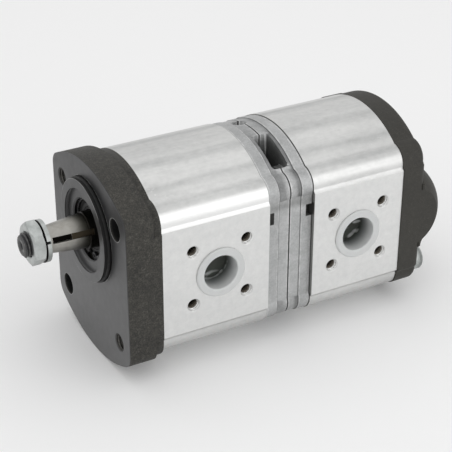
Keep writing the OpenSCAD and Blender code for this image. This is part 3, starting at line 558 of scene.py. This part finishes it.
# Both thread colours are darkened as painted shade inside the holes.
cut_iron = Finish("cut_iron_thread", Metallic=0.9)
cut_iron.feed("Base Color", cut_iron.mix(cut_iron.noise(900, 3), CUT_IRON_SHADE, CUT_IRON))
cut_iron.feed("Roughness", 0.32 + cut_iron.noise(1500, 2) * 0.2)
screw_threads = thread_sleeves(
    "cover_screw_threads", SCREW_HOLES, (1, 0, 0), finish=cut_iron, steps=56, **SCREW_THREAD
)
fitted(screw_threads, "housing", "cast_black")


# Pilot ring: a black nitrile O-ring in the groove at the pilot's foot. The shaft seal behind it is a
# moulded lip seal with a garter spring, held in its bore by a phosphated snap ring.

RUBBER = (0.006, 0.006, 0.006, 1)
RUBBER_DUST = (0.045, 0.044, 0.042, 1)


def moulded_rubber(name):
    """Black rubber, a little dusty in patches."""
    finish = Finish(name, Specular_IOR_Level=0.25)
    dust = finish.noise(700, 4).rise(0.52, 0.75)
    finish.feed("Base Color", finish.mix(dust * 0.35, RUBBER, RUBBER_DUST))
    finish.feed("Roughness", 0.34 + finish.noise(300, 3) * 0.25)
    finish.bump(finish.noise(2400, 2), 0.012 * MM)
    return finish


def lathe(profile, centre=(0, 0), steps=128, turn=None):
    """Points of a profile of (x, radius) pairs swept round the line along x through centre (y, z): each
    point goes to y = radius cos a, z = radius sin a for angles a all round. turn(x, radius, a) may change
    the radius before it is swept."""
    x, r = np.asarray(profile, float).T[:, :, None]
    a = np.linspace(0, 2 * pi, steps, endpoint=False)[None, :]
    r = np.broadcast_to(r, (len(x), steps)) if turn is None else turn(x, r, a)
    x = np.broadcast_to(x, r.shape)
    return np.stack([x, centre[0] + r * np.cos(a), centre[1] + r * np.sin(a)], -1).reshape(-1, 3)


def rounded(corners, radius, steps=4):
    """A closed outline of 2-D corners with each corner replaced by a short arc: a quadratic curve whose
    middle point is the corner and whose ends lie radius away along both sides."""
    p = np.asarray(corners, float)
    before, after = np.roll(p, 1, 0) - p, np.roll(p, -1, 0) - p
    lengths = [np.linalg.norm(v, axis=1, keepdims=True) for v in (before, after)]
    reach = np.minimum(radius, 0.45 * np.minimum(*lengths))
    start, end = p + before / lengths[0] * reach, p + after / lengths[1] * reach
    t = np.linspace(0, 1, steps)[None, :, None]
    arcs = (1 - t) ** 2 * start[:, None] + 2 * t * (1 - t) * p[:, None] + t**2 * end[:, None]
    return arcs.reshape(-1, 2)


def turned_piece(name, outline, finish, centre=(0, 0), steps=128, turn=None):
    """A closed ring of material: an outline of (x, radius) points turned about an axis along x."""
    points = lathe(outline, centre, steps, turn)
    obj = new_piece(name, points, grid_faces(len(outline), steps, True, True), finish)
    work = bmesh.new()
    work.from_mesh(obj.data)
    bmesh.ops.remove_doubles(work, verts=work.verts, dist=SAME_POINT)
    bmesh.ops.recalc_face_normals(work, faces=work.faces)
    work.to_mesh(obj.data)
    work.free()
    return obj


seal_rubber = moulded_rubber("black_nitrile")
ring_low, ring_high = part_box("pilot_o_ring")
ring_section = (ring_high.x - ring_low.x) / 2
ring_middle = ((ring_high.x + ring_low.x) / 2, ring_high.y - ring_section)
round_section = np.linspace(0, 2 * pi, 28, endpoint=False)
ring_outline = ring_section * np.stack([np.cos(round_section), np.sin(round_section)], 1) + ring_middle
pilot_ring = turned_piece("pilot_ring", ring_outline, seal_rubber, steps=200)
fitted(pilot_ring, "housing", "seal_rubber", "pilot_o_ring")

seal_low, seal_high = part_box("shaft_seal")
seal_front, seal_back, seal_rim = seal_low.x, seal_high.x, seal_high.y
LIP_RADIUS = 9.05 * MM
lip_corners = [
    (seal_front, seal_rim), (seal_front, seal_rim - 1.4 * MM),
    (seal_front + 0.55 * MM, seal_rim - 1.7 * MM), (seal_front + 0.55 * MM, seal_rim - 2.4 * MM),
    (seal_front, seal_rim - 2.7 * MM), (seal_front, LIP_RADIUS + 1.5 * MM),
    (seal_front + 0.5 * MM, LIP_RADIUS + 1.2 * MM), (seal_front + 0.2 * MM, LIP_RADIUS + 0.6 * MM),
    (seal_front + 0.3 * MM, LIP_RADIUS + 0.1 * MM), (seal_front + 1.3 * MM, LIP_RADIUS + 1.0 * MM),
    (seal_front + 4.4 * MM, LIP_RADIUS), (seal_front + 5.2 * MM, LIP_RADIUS + 0.6 * MM),
    (seal_front + 5.2 * MM, LIP_RADIUS + 1.8 * MM), (seal_front + 1.9 * MM, LIP_RADIUS + 2.2 * MM),
    (seal_front + 1.9 * MM, seal_rim - 2.1 * MM), (seal_back, seal_rim - 2.1 * MM), (seal_back, seal_rim),
]
lip_seal = turned_piece("shaft_lip_seal", rounded(lip_corners, 0.18 * MM), seal_rubber, steps=160)
fitted(lip_seal, "housing", "seal_rubber", "shaft_seal")

SPRING_BRIGHT = (0.55, 0.55, 0.56, 1)
spring_steel = Finish("bright_spring_steel", Base_Color=SPRING_BRIGHT, Metallic=1.0)
spring_steel.feed("Roughness", 0.25 + spring_steel.noise(900, 2) * 0.2)
spring_low, spring_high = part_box("seal_spring")
spring_section = (spring_high.x - spring_low.x) / 2
spring_middle = ((spring_high.x + spring_low.x) / 2, spring_high.y - spring_section)
SPRING_TURNS = 110
SPRING_WIRE = 0.13 * MM


def garter_spring(name, finish, steps=1400, sides=6):
    """A wire wound round a circle: the wire's centre circles the ring's centre line SPRING_TURNS times
    while it goes once round the shaft, and a small section is swept along that path."""
    t = np.linspace(0, 2 * pi, steps, endpoint=False)
    coil = spring_section - SPRING_WIRE
    out = np.stack([np.zeros(steps), np.cos(t), np.sin(t)], 1)
    axis = np.array([1.0, 0, 0])
    swing = SPRING_TURNS * t
    centre = out * (spring_middle[1] + coil * np.cos(swing))[:, None]
    centre = centre + axis * (spring_middle[0] + coil * np.sin(swing))[:, None]
    ahead = np.roll(centre, -1, 0) - np.roll(centre, 1, 0)
    ahead /= np.linalg.norm(ahead, axis=1, keepdims=True)
    normal = out * np.cos(swing)[:, None] + axis * np.sin(swing)[:, None]
    side = np.cross(ahead, normal)
    side /= np.linalg.norm(side, axis=1, keepdims=True)
    a = np.linspace(0, 2 * pi, sides, endpoint=False)[None, :, None]
    points = centre[:, None] + SPRING_WIRE * (normal[:, None] * np.cos(a) + side[:, None] * np.sin(a))
    return new_piece(name, points.reshape(-1, 3), grid_faces(steps, sides, True, True), finish)


fitted(garter_spring("seal_garter_spring", spring_steel), "housing", "zinc_steel", "seal_spring")

PHOSPHATE = (0.030, 0.030, 0.033, 1)
PHOSPHATE_WORN = (0.14, 0.135, 0.13, 1)
STUD_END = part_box("drive_gear_shaft")[0].x
SMALL_EDGE = 0.12 * MM


def phosphated_steel(name, dark=PHOSPHATE, pale=PHOSPHATE_WORN, root=None):
    """Dark phosphate, worn paler in patches. A screw thread gets painted shade in its grooves."""
    finish = Finish(name, Metallic=0.75)
    worn = finish.noise(500, 5, rough=0.65).rise(0.45, 0.70)
    colour = finish.mix(worn, dark, pale)
    if root is not None:
        # Painted shade in the thread's grooves.
        groove = 1 - finish.radius().rise(root - 0.2 * MM, root + 0.3 * MM)
        groove = groove * finish.x.rise(STUD_END + 0.5 * MM, STUD_END + 0.7 * MM)
        colour = finish.mix(groove * 0.85, colour, PHOSPHATE)
    finish.feed("Base Color", colour)
    finish.feed("Roughness", 0.52 - worn * 0.18 + finish.noise(1800, 2) * 0.1)
    finish.bump(finish.noise(3000, 2), 0.01 * MM)
    return finish


dark_steel = phosphated_steel("phosphated_spring_steel")
dressed("seal_retaining_ring", "dark_steel", dark_steel, SMALL_EDGE)


# Pump bodies: sawn lengths of an aluminium extrusion. The curved skin keeps the die's lengthwise streaks,
# a mottle from etching and rubbed patches, and carries painted reflection bands and painted highlights on
# its upper corners. The two port faces are milled flat, with four tapped holes round each port. The sawn
# ends get painted shade.

BARE_ALUMINIUM = (0.72, 0.72, 0.71, 1)
ETCHED_ALUMINIUM = (0.48, 0.485, 0.48, 1)
RUBBED_ALUMINIUM = (0.88, 0.88, 0.87, 1)
PAINTED_CORNER_HIGHLIGHT = (0.97, 0.97, 0.965, 1)
MILLED_ALUMINIUM = (0.82, 0.82, 0.81, 1)
MILLED_DULL = (0.66, 0.665, 0.66, 1)
SHADED_SAWN_END = (0.34, 0.34, 0.33, 1)
port_face_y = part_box("front_body")[1].y
PAINTED_REFLECTION_BANDS = [(11.8 * MM, 5.6 * MM), (25.4 * MM, 3.2 * MM), (34.0 * MM, 3.6 * MM)]
REFLECTION_BAND_WANDER = 3 * MM
LOBE_SIDE = 37.0 * MM
CORNER_FADE = (90 * MM, 96 * MM)
BODY_ENDS = [edge.x for node in ("front_body", "rear_body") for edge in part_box(node)]


def extruded_aluminium(name):
    """Bare aluminium: skin with streaks and stains, darker bands along the shaft that paint the tent's
    reflection, painted highlights on the upper corners, and milled port faces with feed marks. The sawn
    ends get painted shade."""
    finish = Finish(name, Metallic=1.0)
    milled = finish.y.size().rise(port_face_y - 0.10 * MM, port_face_y - 0.02 * MM)
    drawn = 1 - milled
    die_lines = finish.noise(700, 3, stretch=(60, 1, 1))
    broad_lines = finish.noise(115, 2, stretch=(30, 1, 1))
    mottle = finish.noise(420, 4, stretch=(1.5, 1, 1), rough=0.62)
    cloud = finish.noise(60, 4, stretch=(3, 1, 1), rough=0.6)
    specks = finish.cells(1300).rise(0.0, 0.22)
    feed_marks = finish.noise(520, 2, stretch=(1, 1, 40))
    # Darker bands along the shaft are painted reflections of the tent, added to the stains.
    across = finish.y.size() + (finish.noise(14, 2) - 0.5) * REFLECTION_BAND_WANDER
    reflection_bands = across * 0
    for middle, half in PAINTED_REFLECTION_BANDS:
        reflection_bands = reflection_bands + (1 - (across - middle).size().rise(0, half))
    stain_and_painted_bands = mottle * 0.7 + broad_lines * 0.4 + die_lines * 0.3 + cloud * 1.1 - 0.95
    stain_and_painted_bands = (stain_and_painted_bands + reflection_bands * 0.48).kept()
    # Painted highlight on the upper corners, fading towards the rear.
    corner_highlight = finish.y.size().rise(LOBE_SIDE - 1.2 * MM, LOBE_SIDE + 0.4 * MM) * finish.z.rise(-10 * MM, 0)
    corner_highlight = corner_highlight * (1 - finish.x.rise(*CORNER_FADE) * 0.8)
    rubbed = finish.noise(950, 3, stretch=(1.8, 1, 1)).rise(0.60, 0.72) * cloud.rise(0.50, 0.66)
    skin = finish.mix(rubbed * 0.5, finish.mix(stain_and_painted_bands, BARE_ALUMINIUM, ETCHED_ALUMINIUM), RUBBED_ALUMINIUM)
    skin = finish.mix(corner_highlight * 0.6, skin, PAINTED_CORNER_HIGHLIGHT)
    dull = (finish.noise(300, 5, rough=0.7) * 1.2 + cloud * 0.6 - 0.45).kept()
    colour = finish.mix(milled, skin, finish.mix(dull, MILLED_ALUMINIUM, MILLED_DULL))
    # The sawn ends are painted dark: painted shade.
    end_gap = (finish.x - BODY_ENDS[0]).size()
    for end in BODY_ENDS[1:]:
        end_gap = end_gap.math("MINIMUM", end_gap, (finish.x - end).size())
    finish.feed("Base Color", finish.mix(1 - end_gap.rise(0.04 * MM, 0.12 * MM), colour, SHADED_SAWN_END))
    nicks = 1 - (1 - specks) * finish.noise(90, 2).rise(0.52, 0.62)
    finish.feed(
        "Roughness",
        drawn * (0.27 + mottle * 0.16 + die_lines * 0.10 - rubbed * 0.06)
        + milled * (0.38 + feed_marks * 0.10)
        + (1 - nicks) * 0.12,
    )
    relief = drawn * (die_lines * 0.3 + mottle * 0.3 + broad_lines * 1.1)
    relief = relief + milled * (feed_marks * 0.22 + mottle * 0.3)
    finish.bump(relief + nicks * 0.25, 0.022 * MM)
    return finish


extrusion = extruded_aluminium("extruded_aluminium")
for body_node in ("front_body", "rear_body"):
    dressed(body_node, "extruded_aluminium", extrusion, 0.30 * MM, 2, 22, rim_share(BODY_ENDS, rest=0.3))

THREAD_SHADE_PALE = (0.26, 0.235, 0.20, 1)
THREAD_SHADE = (0.10, 0.085, 0.065, 1)
THREAD_DEEP_SHADE = (0.02, 0.017, 0.014, 1)
# Painted shade inside the tapped holes: bare milled metal at the mouth, dark brown deeper in and darkest at
# the bottom.
tapped_metal = Finish("tapped_aluminium", Metallic=1.0)
hole_depth = port_face_y - tapped_metal.y.size()
thread_shade = tapped_metal.mix(tapped_metal.noise(900, 3), THREAD_SHADE, THREAD_SHADE_PALE)
thread_shade = tapped_metal.mix(hole_depth.rise(1.5 * MM, 6 * MM), thread_shade, THREAD_DEEP_SHADE)
bright_depth = hole_depth.rise(1.7 * MM, 2.8 * MM)
tapped_metal.feed("Base Color", tapped_metal.mix(bright_depth, MILLED_ALUMINIUM, thread_shade))
tapped_metal.feed("Roughness", 0.20 + tapped_metal.noise(1500, 2) * 0.16)

PORT_THREAD = {"hole_r": 2.98 * MM, "depth": 0.48 * MM, "pitch": 1.0 * MM, "reach": 10 * MM}
PORT_PLACES = {"front_body": 48.25 * MM, "rear_body": 124.4 * MM}
PORT_CIRCLES = {"_inlet_threads": (-1, 40 * MM), "_outlet_threads": (1, 35 * MM)}
for body_node, port_x in PORT_PLACES.items():
    for label, (side, circle) in PORT_CIRCLES.items():
        half = circle / 2**1.5
        square = [(u * half, v * half) for u in (-1, 1) for v in (-1, 1)]
        mouths = [(port_x + u, side * port_face_y, AXES_MIDDLE + v) for u, v in square]
        inward = (0, -side, 0)
        sleeves = thread_sleeves(body_node + label, mouths, inward, finish=tapped_metal, **PORT_THREAD)
        fitted(sleeves, "housing", "extruded_aluminium")


def painted_node(node, finish):
    """Gives a solid that keeps its own shape its finish."""
    mesh = frame["nodes"][node].data
    mesh.materials.clear()
    mesh.materials.append(finish.material)


painted_node("body_seals", seal_rubber)


# Drive shaft and gears: case-hardened steel, ground all over. The shaft end shows fine turning rings and
# an oil film, with painted shade towards the seal, on its shoulder and in its keyway. Its thread is cut,
# then left dark.

GROUND_STEEL = (0.40, 0.39, 0.365, 1)
OILED_STEEL = (0.22, 0.21, 0.18, 1)
SHADED_STEEL = (0.060, 0.058, 0.048, 1)
KEYWAY_SHADE = (0.085, 0.070, 0.048, 1)
PAINTED_BLACK_SHADE = (0.008, 0.007, 0.006, 1)
SHOULDER = -2.8 * MM
BORE_SHADOW_FROM, BORE_SHADOW_FULL = -12.5 * MM, -3.6 * MM
KEY_ANGLE = radians(161)
KEY_HALF = 1.46 * MM
KEY_FRONT, KEY_STEP = -20.5 * MM, -11.3 * MM
KEY_FLOOR, KEY_TAIL_RISE = 6.9 * MM, 1.1 * MM


def ground_steel(name, keyed=False):
    """Ground steel under an oil film. The shaft's own finish also carries painted shade: the bore's shadow
    towards the seal, a dark ring on the shoulder, and the keyway's floor, which lies lower before KEY_STEP
    than behind it."""
    finish = Finish(name, Metallic=1.0)
    rings = finish.noise(1900, 2, stretch=(1, 14, 14))
    film = finish.noise(150, 5, rough=0.65)
    oiled = (film * 1.7 - 0.62).kept()
    colour = finish.mix(oiled, GROUND_STEEL, OILED_STEEL)
    roughness = 0.24 + rings * 0.10 + oiled * 0.16
    if keyed:
        # Painted shadow of the bore, darkening the shaft towards the seal.
        bore_shadow = finish.x.rise(BORE_SHADOW_FROM, BORE_SHADOW_FULL)
        colour = finish.mix(bore_shadow * 0.98, colour, SHADED_STEEL)
        # Painted shade: a black ring on the shoulder.
        shoulder = 1 - (finish.x - SHOULDER).size().rise(0.35 * MM, 0.6 * MM)
        colour = finish.mix(shoulder * 0.9, colour, PAINTED_BLACK_SHADE)
        # Painted shade on the keyway's floor, darkest where it lies deepest.
        along_key = finish.y * cos(KEY_ANGLE) + finish.z * sin(KEY_ANGLE)
        beside_key = (finish.z * cos(KEY_ANGLE) - finish.y * sin(KEY_ANGLE)).size()
        in_slot = (beside_key < KEY_HALF) * (along_key > 4.0 * MM) * (finish.x > KEY_FRONT)
        floor_radius = finish.x.rise(KEY_STEP, KEY_STEP + 0.2 * MM) * KEY_TAIL_RISE + KEY_FLOOR
        floor_of_slot = in_slot * (finish.radius() < floor_radius)
        deep = 1 - finish.x.rise(KEY_STEP - 0.3 * MM, KEY_STEP + 0.3 * MM)
        colour = finish.mix(floor_of_slot, colour, finish.mix(deep, KEYWAY_SHADE, PAINTED_BLACK_SHADE))
        roughness = roughness + floor_of_slot * 0.25
    finish.feed("Base Color", colour)
    finish.feed("Roughness", roughness)
    finish.bump(rings * 0.5 + film * 0.3, 0.012 * MM)
    return finish


gear_steel = ground_steel("ground_gear_steel")
shaft_steel = ground_steel("oiled_shaft_steel", keyed=True)

STUD_JOINT = -22.9 * MM
THREAD_RADIUS = 6.0 * MM
THREAD_PITCH = 1.5 * MM
THREAD_DEPTH = 0.92 * MM
THREAD_GROOVE = 5.45 * MM
THREAD_DARK = (0.110, 0.110, 0.110, 1)
THREAD_PALE = (0.17, 0.17, 0.165, 1)
thread_finish = phosphated_steel("dark_cut_thread", THREAD_DARK, THREAD_PALE, THREAD_GROOVE)


def threaded_stud(name, finish):
    """The shaft's threaded end: a screw thread between a chamfered tip with a lathe centre and a plain
    relief, all turned from one run of (x, radius) rows."""
    size = THREAD_RADIUS, THREAD_DEPTH, THREAD_PITCH
    x, r, a = thread_skin(STUD_END + 0.6 * MM, STUD_JOINT, *size, run_out=0.3)
    tip_x = STUD_END + np.array([2.4, 0.0, 0.0, 0.12, 0.35, 0.55])[:, None] * MM
    tip_r = np.array([0.05, 2.5, 4.55, 4.75, 5.0, 5.06])[:, None] * MM
    steps = x.shape[1]
    end_x = np.array([[STUD_JOINT + 0.1 * MM], [STUD_JOINT + 0.5 * MM]])
    end_r = np.array([[5.06 * MM], [5.04 * MM]])
    widen = lambda rows: np.broadcast_to(rows, (len(rows), steps))
    x = np.vstack([widen(tip_x), x, widen(end_x)])
    r = np.vstack([widen(tip_r), r, widen(end_r)])
    a = np.broadcast_to(a[:1], x.shape)
    points = np.stack([x, r * np.cos(a), r * np.sin(a)], -1).reshape(-1, 3)
    obj = new_piece(name, points, grid_faces(*x.shape, False, True)[:, ::-1], finish)
    return fitted(obj, "drive_train", "ground_steel")


shaft = solid_copy("drive_gear_shaft", "drive_shaft_finished", shaft_steel, lambda p: p.x > STUD_JOINT)
soften(shaft, SMALL_EDGE)
fitted(shaft, "drive_train", "ground_steel", "drive_gear_shaft")
threaded_stud("shaft_thread", thread_finish)

for gear_node in ("front_driven_gear", "rear_drive_gear", "rear_driven_gear"):
    dressed(gear_node, "ground_steel", gear_steel, SMALL_EDGE)
painted_node("coupling_sleeve", dark_steel)
painted_node("dowel_pins", gear_steel)


# Bearing blocks: machined from cast aluminium, with coated bronze bushes, a rubber 3-shaped seal and its
# plastic backing strip behind each.

BLOCK_ALLOY = (0.62, 0.62, 0.62, 1)
BLOCK_ALLOY_PALE = (0.74, 0.74, 0.73, 1)
BRONZE = (0.60, 0.40, 0.21, 1)
BRONZE_PORE = (0.22, 0.12, 0.06, 1)
BACKING = (0.60, 0.57, 0.47, 1)
BACKING_PALE = (0.74, 0.71, 0.62, 1)


def machined_alloy(name):
    """Aluminium with fine turning rings round the shaft's line."""
    finish = Finish(name, Metallic=1.0)
    turned = finish.noise(1400, 2, stretch=(1, 30, 30))
    finish.feed("Base Color", finish.mix(finish.noise(200, 3), BLOCK_ALLOY, BLOCK_ALLOY_PALE))
    finish.feed("Roughness", 0.32 + turned * 0.16)
    finish.bump(turned, 0.01 * MM)
    return finish


def sintered_bronze(name):
    """Bronze with the dark pores of a pressed powder."""
    finish = Finish(name, Metallic=1.0)
    pores = finish.cells(3200).rise(0.1, 0.4)
    finish.feed("Base Color", finish.mix(pores, BRONZE_PORE, BRONZE))
    finish.feed("Roughness", 0.55 - pores * 0.2)
    finish.bump(pores, 0.01 * MM)
    return finish


def backing_plastic(name):
    """Cream-coloured nylon."""
    finish = Finish(name)
    finish.feed("Base Color", finish.mix(finish.noise(500, 3), BACKING, BACKING_PALE))
    finish.feed("Roughness", 0.42 + finish.noise(1500, 2) * 0.15)
    finish.bump(finish.noise(2500, 2), 0.006 * MM)
    return finish


block_alloy = machined_alloy("machined_block_alloy")
for stage in ("front", "rear"):
    for end in ("front", "rear"):
        painted_node(f"{stage}_stage_{end}_block", block_alloy)
painted_node("bearing_bushes", sintered_bronze("sintered_bronze"))
painted_node("axial_seals", seal_rubber)
painted_node("seal_backups", backing_plastic("backing_plastic"))


# Intermediate plates: aluminium die castings, grey and mottled, with a raised band along each body, pale
# rims that are painted highlights, worn in patches, and a vent window across their joint. The seams hold
# grime and painted shade; the two lever notches and the window's inside get painted shade. A lip ring in
# each keeps the two stages' oil apart.

DIE_GREY = (0.33, 0.335, 0.335, 1)
DIE_PALE = (0.56, 0.565, 0.565, 1)
PAINTED_RIM_HIGHLIGHT = (0.68, 0.68, 0.68, 1)
SEAM_DIRT_AND_SHADE = (0.035, 0.035, 0.033, 1)
WINDOW_SHADE = (0.15, 0.152, 0.145, 1)
plates_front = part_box("front_plate")[0].x
plates_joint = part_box("front_plate")[1].x
plates_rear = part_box("rear_plate")[1].x
BAND_WIDTH = 6.2 * MM
band_front, band_rear = plates_front + BAND_WIDTH, plates_rear - BAND_WIDTH
PLATE_PLANES = [plates_front, band_front, plates_joint, band_rear, plates_rear]
NOTCH_FROM_JOINT = 8.7 * MM
NOTCH_Y = (-38.2 * MM, -34 * MM)
NOTCH_Z = (0.1 * MM, 6.4 * MM)


def die_casting(name):
    """Mottled die-cast aluminium: pale stripes on the rims beside each seam, painted highlights in patches;
    dark stripes in the seams, grime and painted shade; painted shade in the lever notches and the window."""
    finish = Finish(name, Metallic=0.9)

    def stripe(centre, half):
        """1 within half of a plane across the shaft, with soft sides."""
        return 1 - (finish.x - centre).size().rise(half * 0.6, half * 1.3)

    flow = finish.noise(130, 4, stretch=(1.5, 1, 1), rough=0.6)
    cloud = finish.noise(45, 3)
    fine = finish.noise(1100, 4, rough=0.65)
    tint = (flow * 1.5 + cloud * 0.7 + fine * 1.2 - 1.2).kept()
    colour = finish.mix(tint, DIE_GREY, DIE_PALE)
    outside = finish.radius(0, AXES_MIDDLE).rise(36.0 * MM, 36.5 * MM)
    # Painted highlights on the rounded rims beside each seam.
    rim_highlights = (
        stripe(plates_front + 0.75 * MM, 0.3 * MM) + stripe(band_front - 0.35 * MM, 0.3 * MM)
        + stripe(plates_joint - 0.65 * MM, 0.3 * MM) + stripe(plates_joint + 0.65 * MM, 0.3 * MM)
        + stripe(band_rear + 0.35 * MM, 0.3 * MM) + stripe(plates_rear - 0.9 * MM, 0.3 * MM)
    )
    # Dark seams: grime and painted shade.
    seams = (
        stripe(plates_front, 0.28 * MM) + stripe(band_front + 0.15 * MM, 0.2 * MM) * 0.5
        + stripe(plates_joint, 0.36 * MM) + stripe(band_rear - 0.15 * MM, 0.2 * MM) * 0.5
        + stripe(plates_rear, 0.30 * MM)
    )
    worn = finish.noise(300, 4, rough=0.65).rise(0.38, 0.62)
    colour = finish.mix((rim_highlights * outside * worn * 0.7).kept(), colour, PAINTED_RIM_HIGHLIGHT)
    colour = finish.mix((seams * outside * 0.92).kept(), colour, SEAM_DIRT_AND_SHADE)
    # Painted shade in the lever notches.
    in_notch = (finish.y > NOTCH_Y[0]) * (finish.y < NOTCH_Y[1])
    in_notch = in_notch * ((finish.x - plates_joint).size() > NOTCH_FROM_JOINT)
    in_notch = in_notch * (finish.z > NOTCH_Z[0]) * (finish.z < NOTCH_Z[1])
    colour = finish.mix(in_notch * 0.9, colour, SEAM_DIRT_AND_SHADE)
    # Painted shade inside the vent window, towards its top.
    inside = 1 - finish.radius(0, AXES_MIDDLE).rise(44 * MM, 48.6 * MM)
    near_top = finish.z.rise(5 * MM, 9 * MM)
    window_shade = inside * near_top * (finish.noise(260, 3) * 0.5 + 0.25)
    finish.feed("Base Color", finish.mix(window_shade.kept(), colour, WINDOW_SHADE))
    finish.feed("Roughness", 0.36 + flow * 0.16 + fine * 0.10)
    finish.bump(flow * 0.8 + fine * 0.6, 0.05 * MM)
    return finish


plate_casting = die_casting("die_cast_aluminium")
for plate_node in ("front_plate", "rear_plate"):
    dressed(plate_node, "diecast_aluminium", plate_casting, 0.35 * MM, 3, 26, rim_share(PLATE_PLANES))
painted_node("plate_shaft_seals", seal_rubber)


# Rear cover: another blackened iron casting, smoother than the front one, with a cross boss for a valve
# that this version leaves blind.


def cut_nowhere(finish):
    """0 all over: no machined face of the rear cover shows."""
    return finish.x * 0


# The rear cover's mounting holes get painted shade on their walls.
rear_casting = black_casting("blackened_iron_rear", cut_nowhere, in_mount_holes, 0.4)
dressed("rear_cover", "cast_black", rear_casting, 0.6 * MM, 2, 28, rim_share([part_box("rear_cover")[0].x]))


# Long screws: two zinc-plated M8 cap screws with knurled heads clamp the stack from the rear, each on a
# washer. They end in the tapped holes beside the pilot.

ZINC = (0.34, 0.36, 0.35, 1)
ZINC_PALE = (0.60, 0.62, 0.61, 1)


def zinc_plate(name, seat=None):
    """Zinc plate with a faint bloom. A painted shadow darkens the face that a seat's x names."""
    finish = Finish(name, Metallic=1.0)
    bloom = finish.noise(260, 4, rough=0.6)
    colour = finish.mix((bloom * 1.8 - 0.5).kept(), ZINC, ZINC_PALE)
    if seat is not None:
        # Painted shadow of the gap where the nut bears on the washer.
        colour = finish.mix(1 - finish.x.rise(seat + 0.30 * MM, seat + 0.45 * MM), colour, PAINTED_BLACK_SHADE)
    finish.feed("Base Color", colour)
    finish.feed("Roughness", 0.26 + bloom * 0.2)
    finish.bump(finish.noise(1500, 3), 0.012 * MM)
    return finish


zinc = zinc_plate("zinc_plate")
dressed("assembly_bolts", "zinc_steel", zinc, 0.25 * MM)
painted_node("bolt_washers", zinc)

head_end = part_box("assembly_bolts")[1].x
HEAD_RADIUS = 6.5 * MM
KNURL_RIDGES = 54
KNURL_DEPTH = 0.16 * MM


def knurled(x, radius, a):
    """The band's outer radius rises by the knurl's depth times a triangle wave of the angle."""
    wave = np.abs((a * KNURL_RIDGES / (2 * pi)) % 1.0 - 0.5) * 2
    return radius + KNURL_DEPTH * wave * (radius > HEAD_RADIUS - 0.1 * MM)


knurl_band = [
    (head_end - 7.4 * MM, HEAD_RADIUS - 0.3 * MM), (head_end - 7.3 * MM, HEAD_RADIUS),
    (head_end - 1.0 * MM, HEAD_RADIUS), (head_end - 0.9 * MM, HEAD_RADIUS - 0.3 * MM),
]
for label, side in (("upper", 1), ("lower", -1)):
    centre = (side * BOLT_PLACE, AXES_MIDDLE + side * BOLT_PLACE)
    knurl = turned_piece(label + "_screw_knurl", knurl_band, zinc, centre, KNURL_RIDGES * 4, knurled)
    fitted(knurl, "housing", "zinc_steel")


# Shaft nut: a zinc-plated hexagon nut with both faces chamfered, over a split spring washer of the same
# plating whose front face carries a painted shadow where the nut bears on it.

dressed("shaft_nut", "zinc_steel", zinc, 0.18 * MM, 2, 15)
washer_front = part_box("lock_washer")[0].x
washer_zinc = zinc_plate("zinc_plate_washer", washer_front)
dressed("lock_washer", "zinc_steel", washer_zinc, 0.3 * MM)


# Transit plugs: thin translucent polyethylene cups pushed into the ports. Lip and wall look milky; the
# wall darkens with depth and the clear bottom is painted dark, painted shade of the port's inside, with
# painted glints.

MILKY = (0.93, 0.94, 0.935, 1)
MILKY_SHADE = (0.84, 0.86, 0.855, 1)
PAINTED_WALL_SHADE = (0.17, 0.185, 0.185, 1)
PAINTED_PORT_SHADE = (0.10, 0.11, 0.095, 1)
PLUG_DEPTH = 11.6 * MM


def plug_plastic(name):
    """Milky plastic with painted shade, grey down the wall and dark at the bottom, and a few painted glints
    there.
    """
    finish = Finish(name, Transmission_Weight=0.35, IOR=1.5)
    cloud = finish.noise(200, 3)
    behind_face = port_face_y - finish.y.size()
    # Painted shade down the wall and at the bottom, with painted glints on the bottom.
    wall = behind_face.rise(0.4 * MM, PLUG_DEPTH - 2 * MM)
    bottom = behind_face.rise(PLUG_DEPTH - 4 * MM, PLUG_DEPTH - 1.8 * MM)
    painted_glints = finish.noise(170, 2, stretch=(3, 1, 1)).rise(0.58, 0.64)
    deep = finish.mix(painted_glints * 0.8, PAINTED_PORT_SHADE, MILKY_SHADE)
    side = finish.mix(wall, finish.mix(cloud, MILKY, MILKY_SHADE), PAINTED_WALL_SHADE)
    finish.feed("Base Color", finish.mix(bottom, side, deep))
    finish.feed("Roughness", 0.28 + finish.noise(500, 3) * 0.15)
    finish.bump(finish.noise(400, 3), 0.04 * MM)
    return finish


milky_plastic = plug_plastic("translucent_polyethylene")
for plug_node in ("front_inlet_plug", "rear_inlet_plug", "front_outlet_plug", "rear_outlet_plug"):
    dressed(plug_node, "plug_plastic", milky_plastic, SMALL_EDGE)
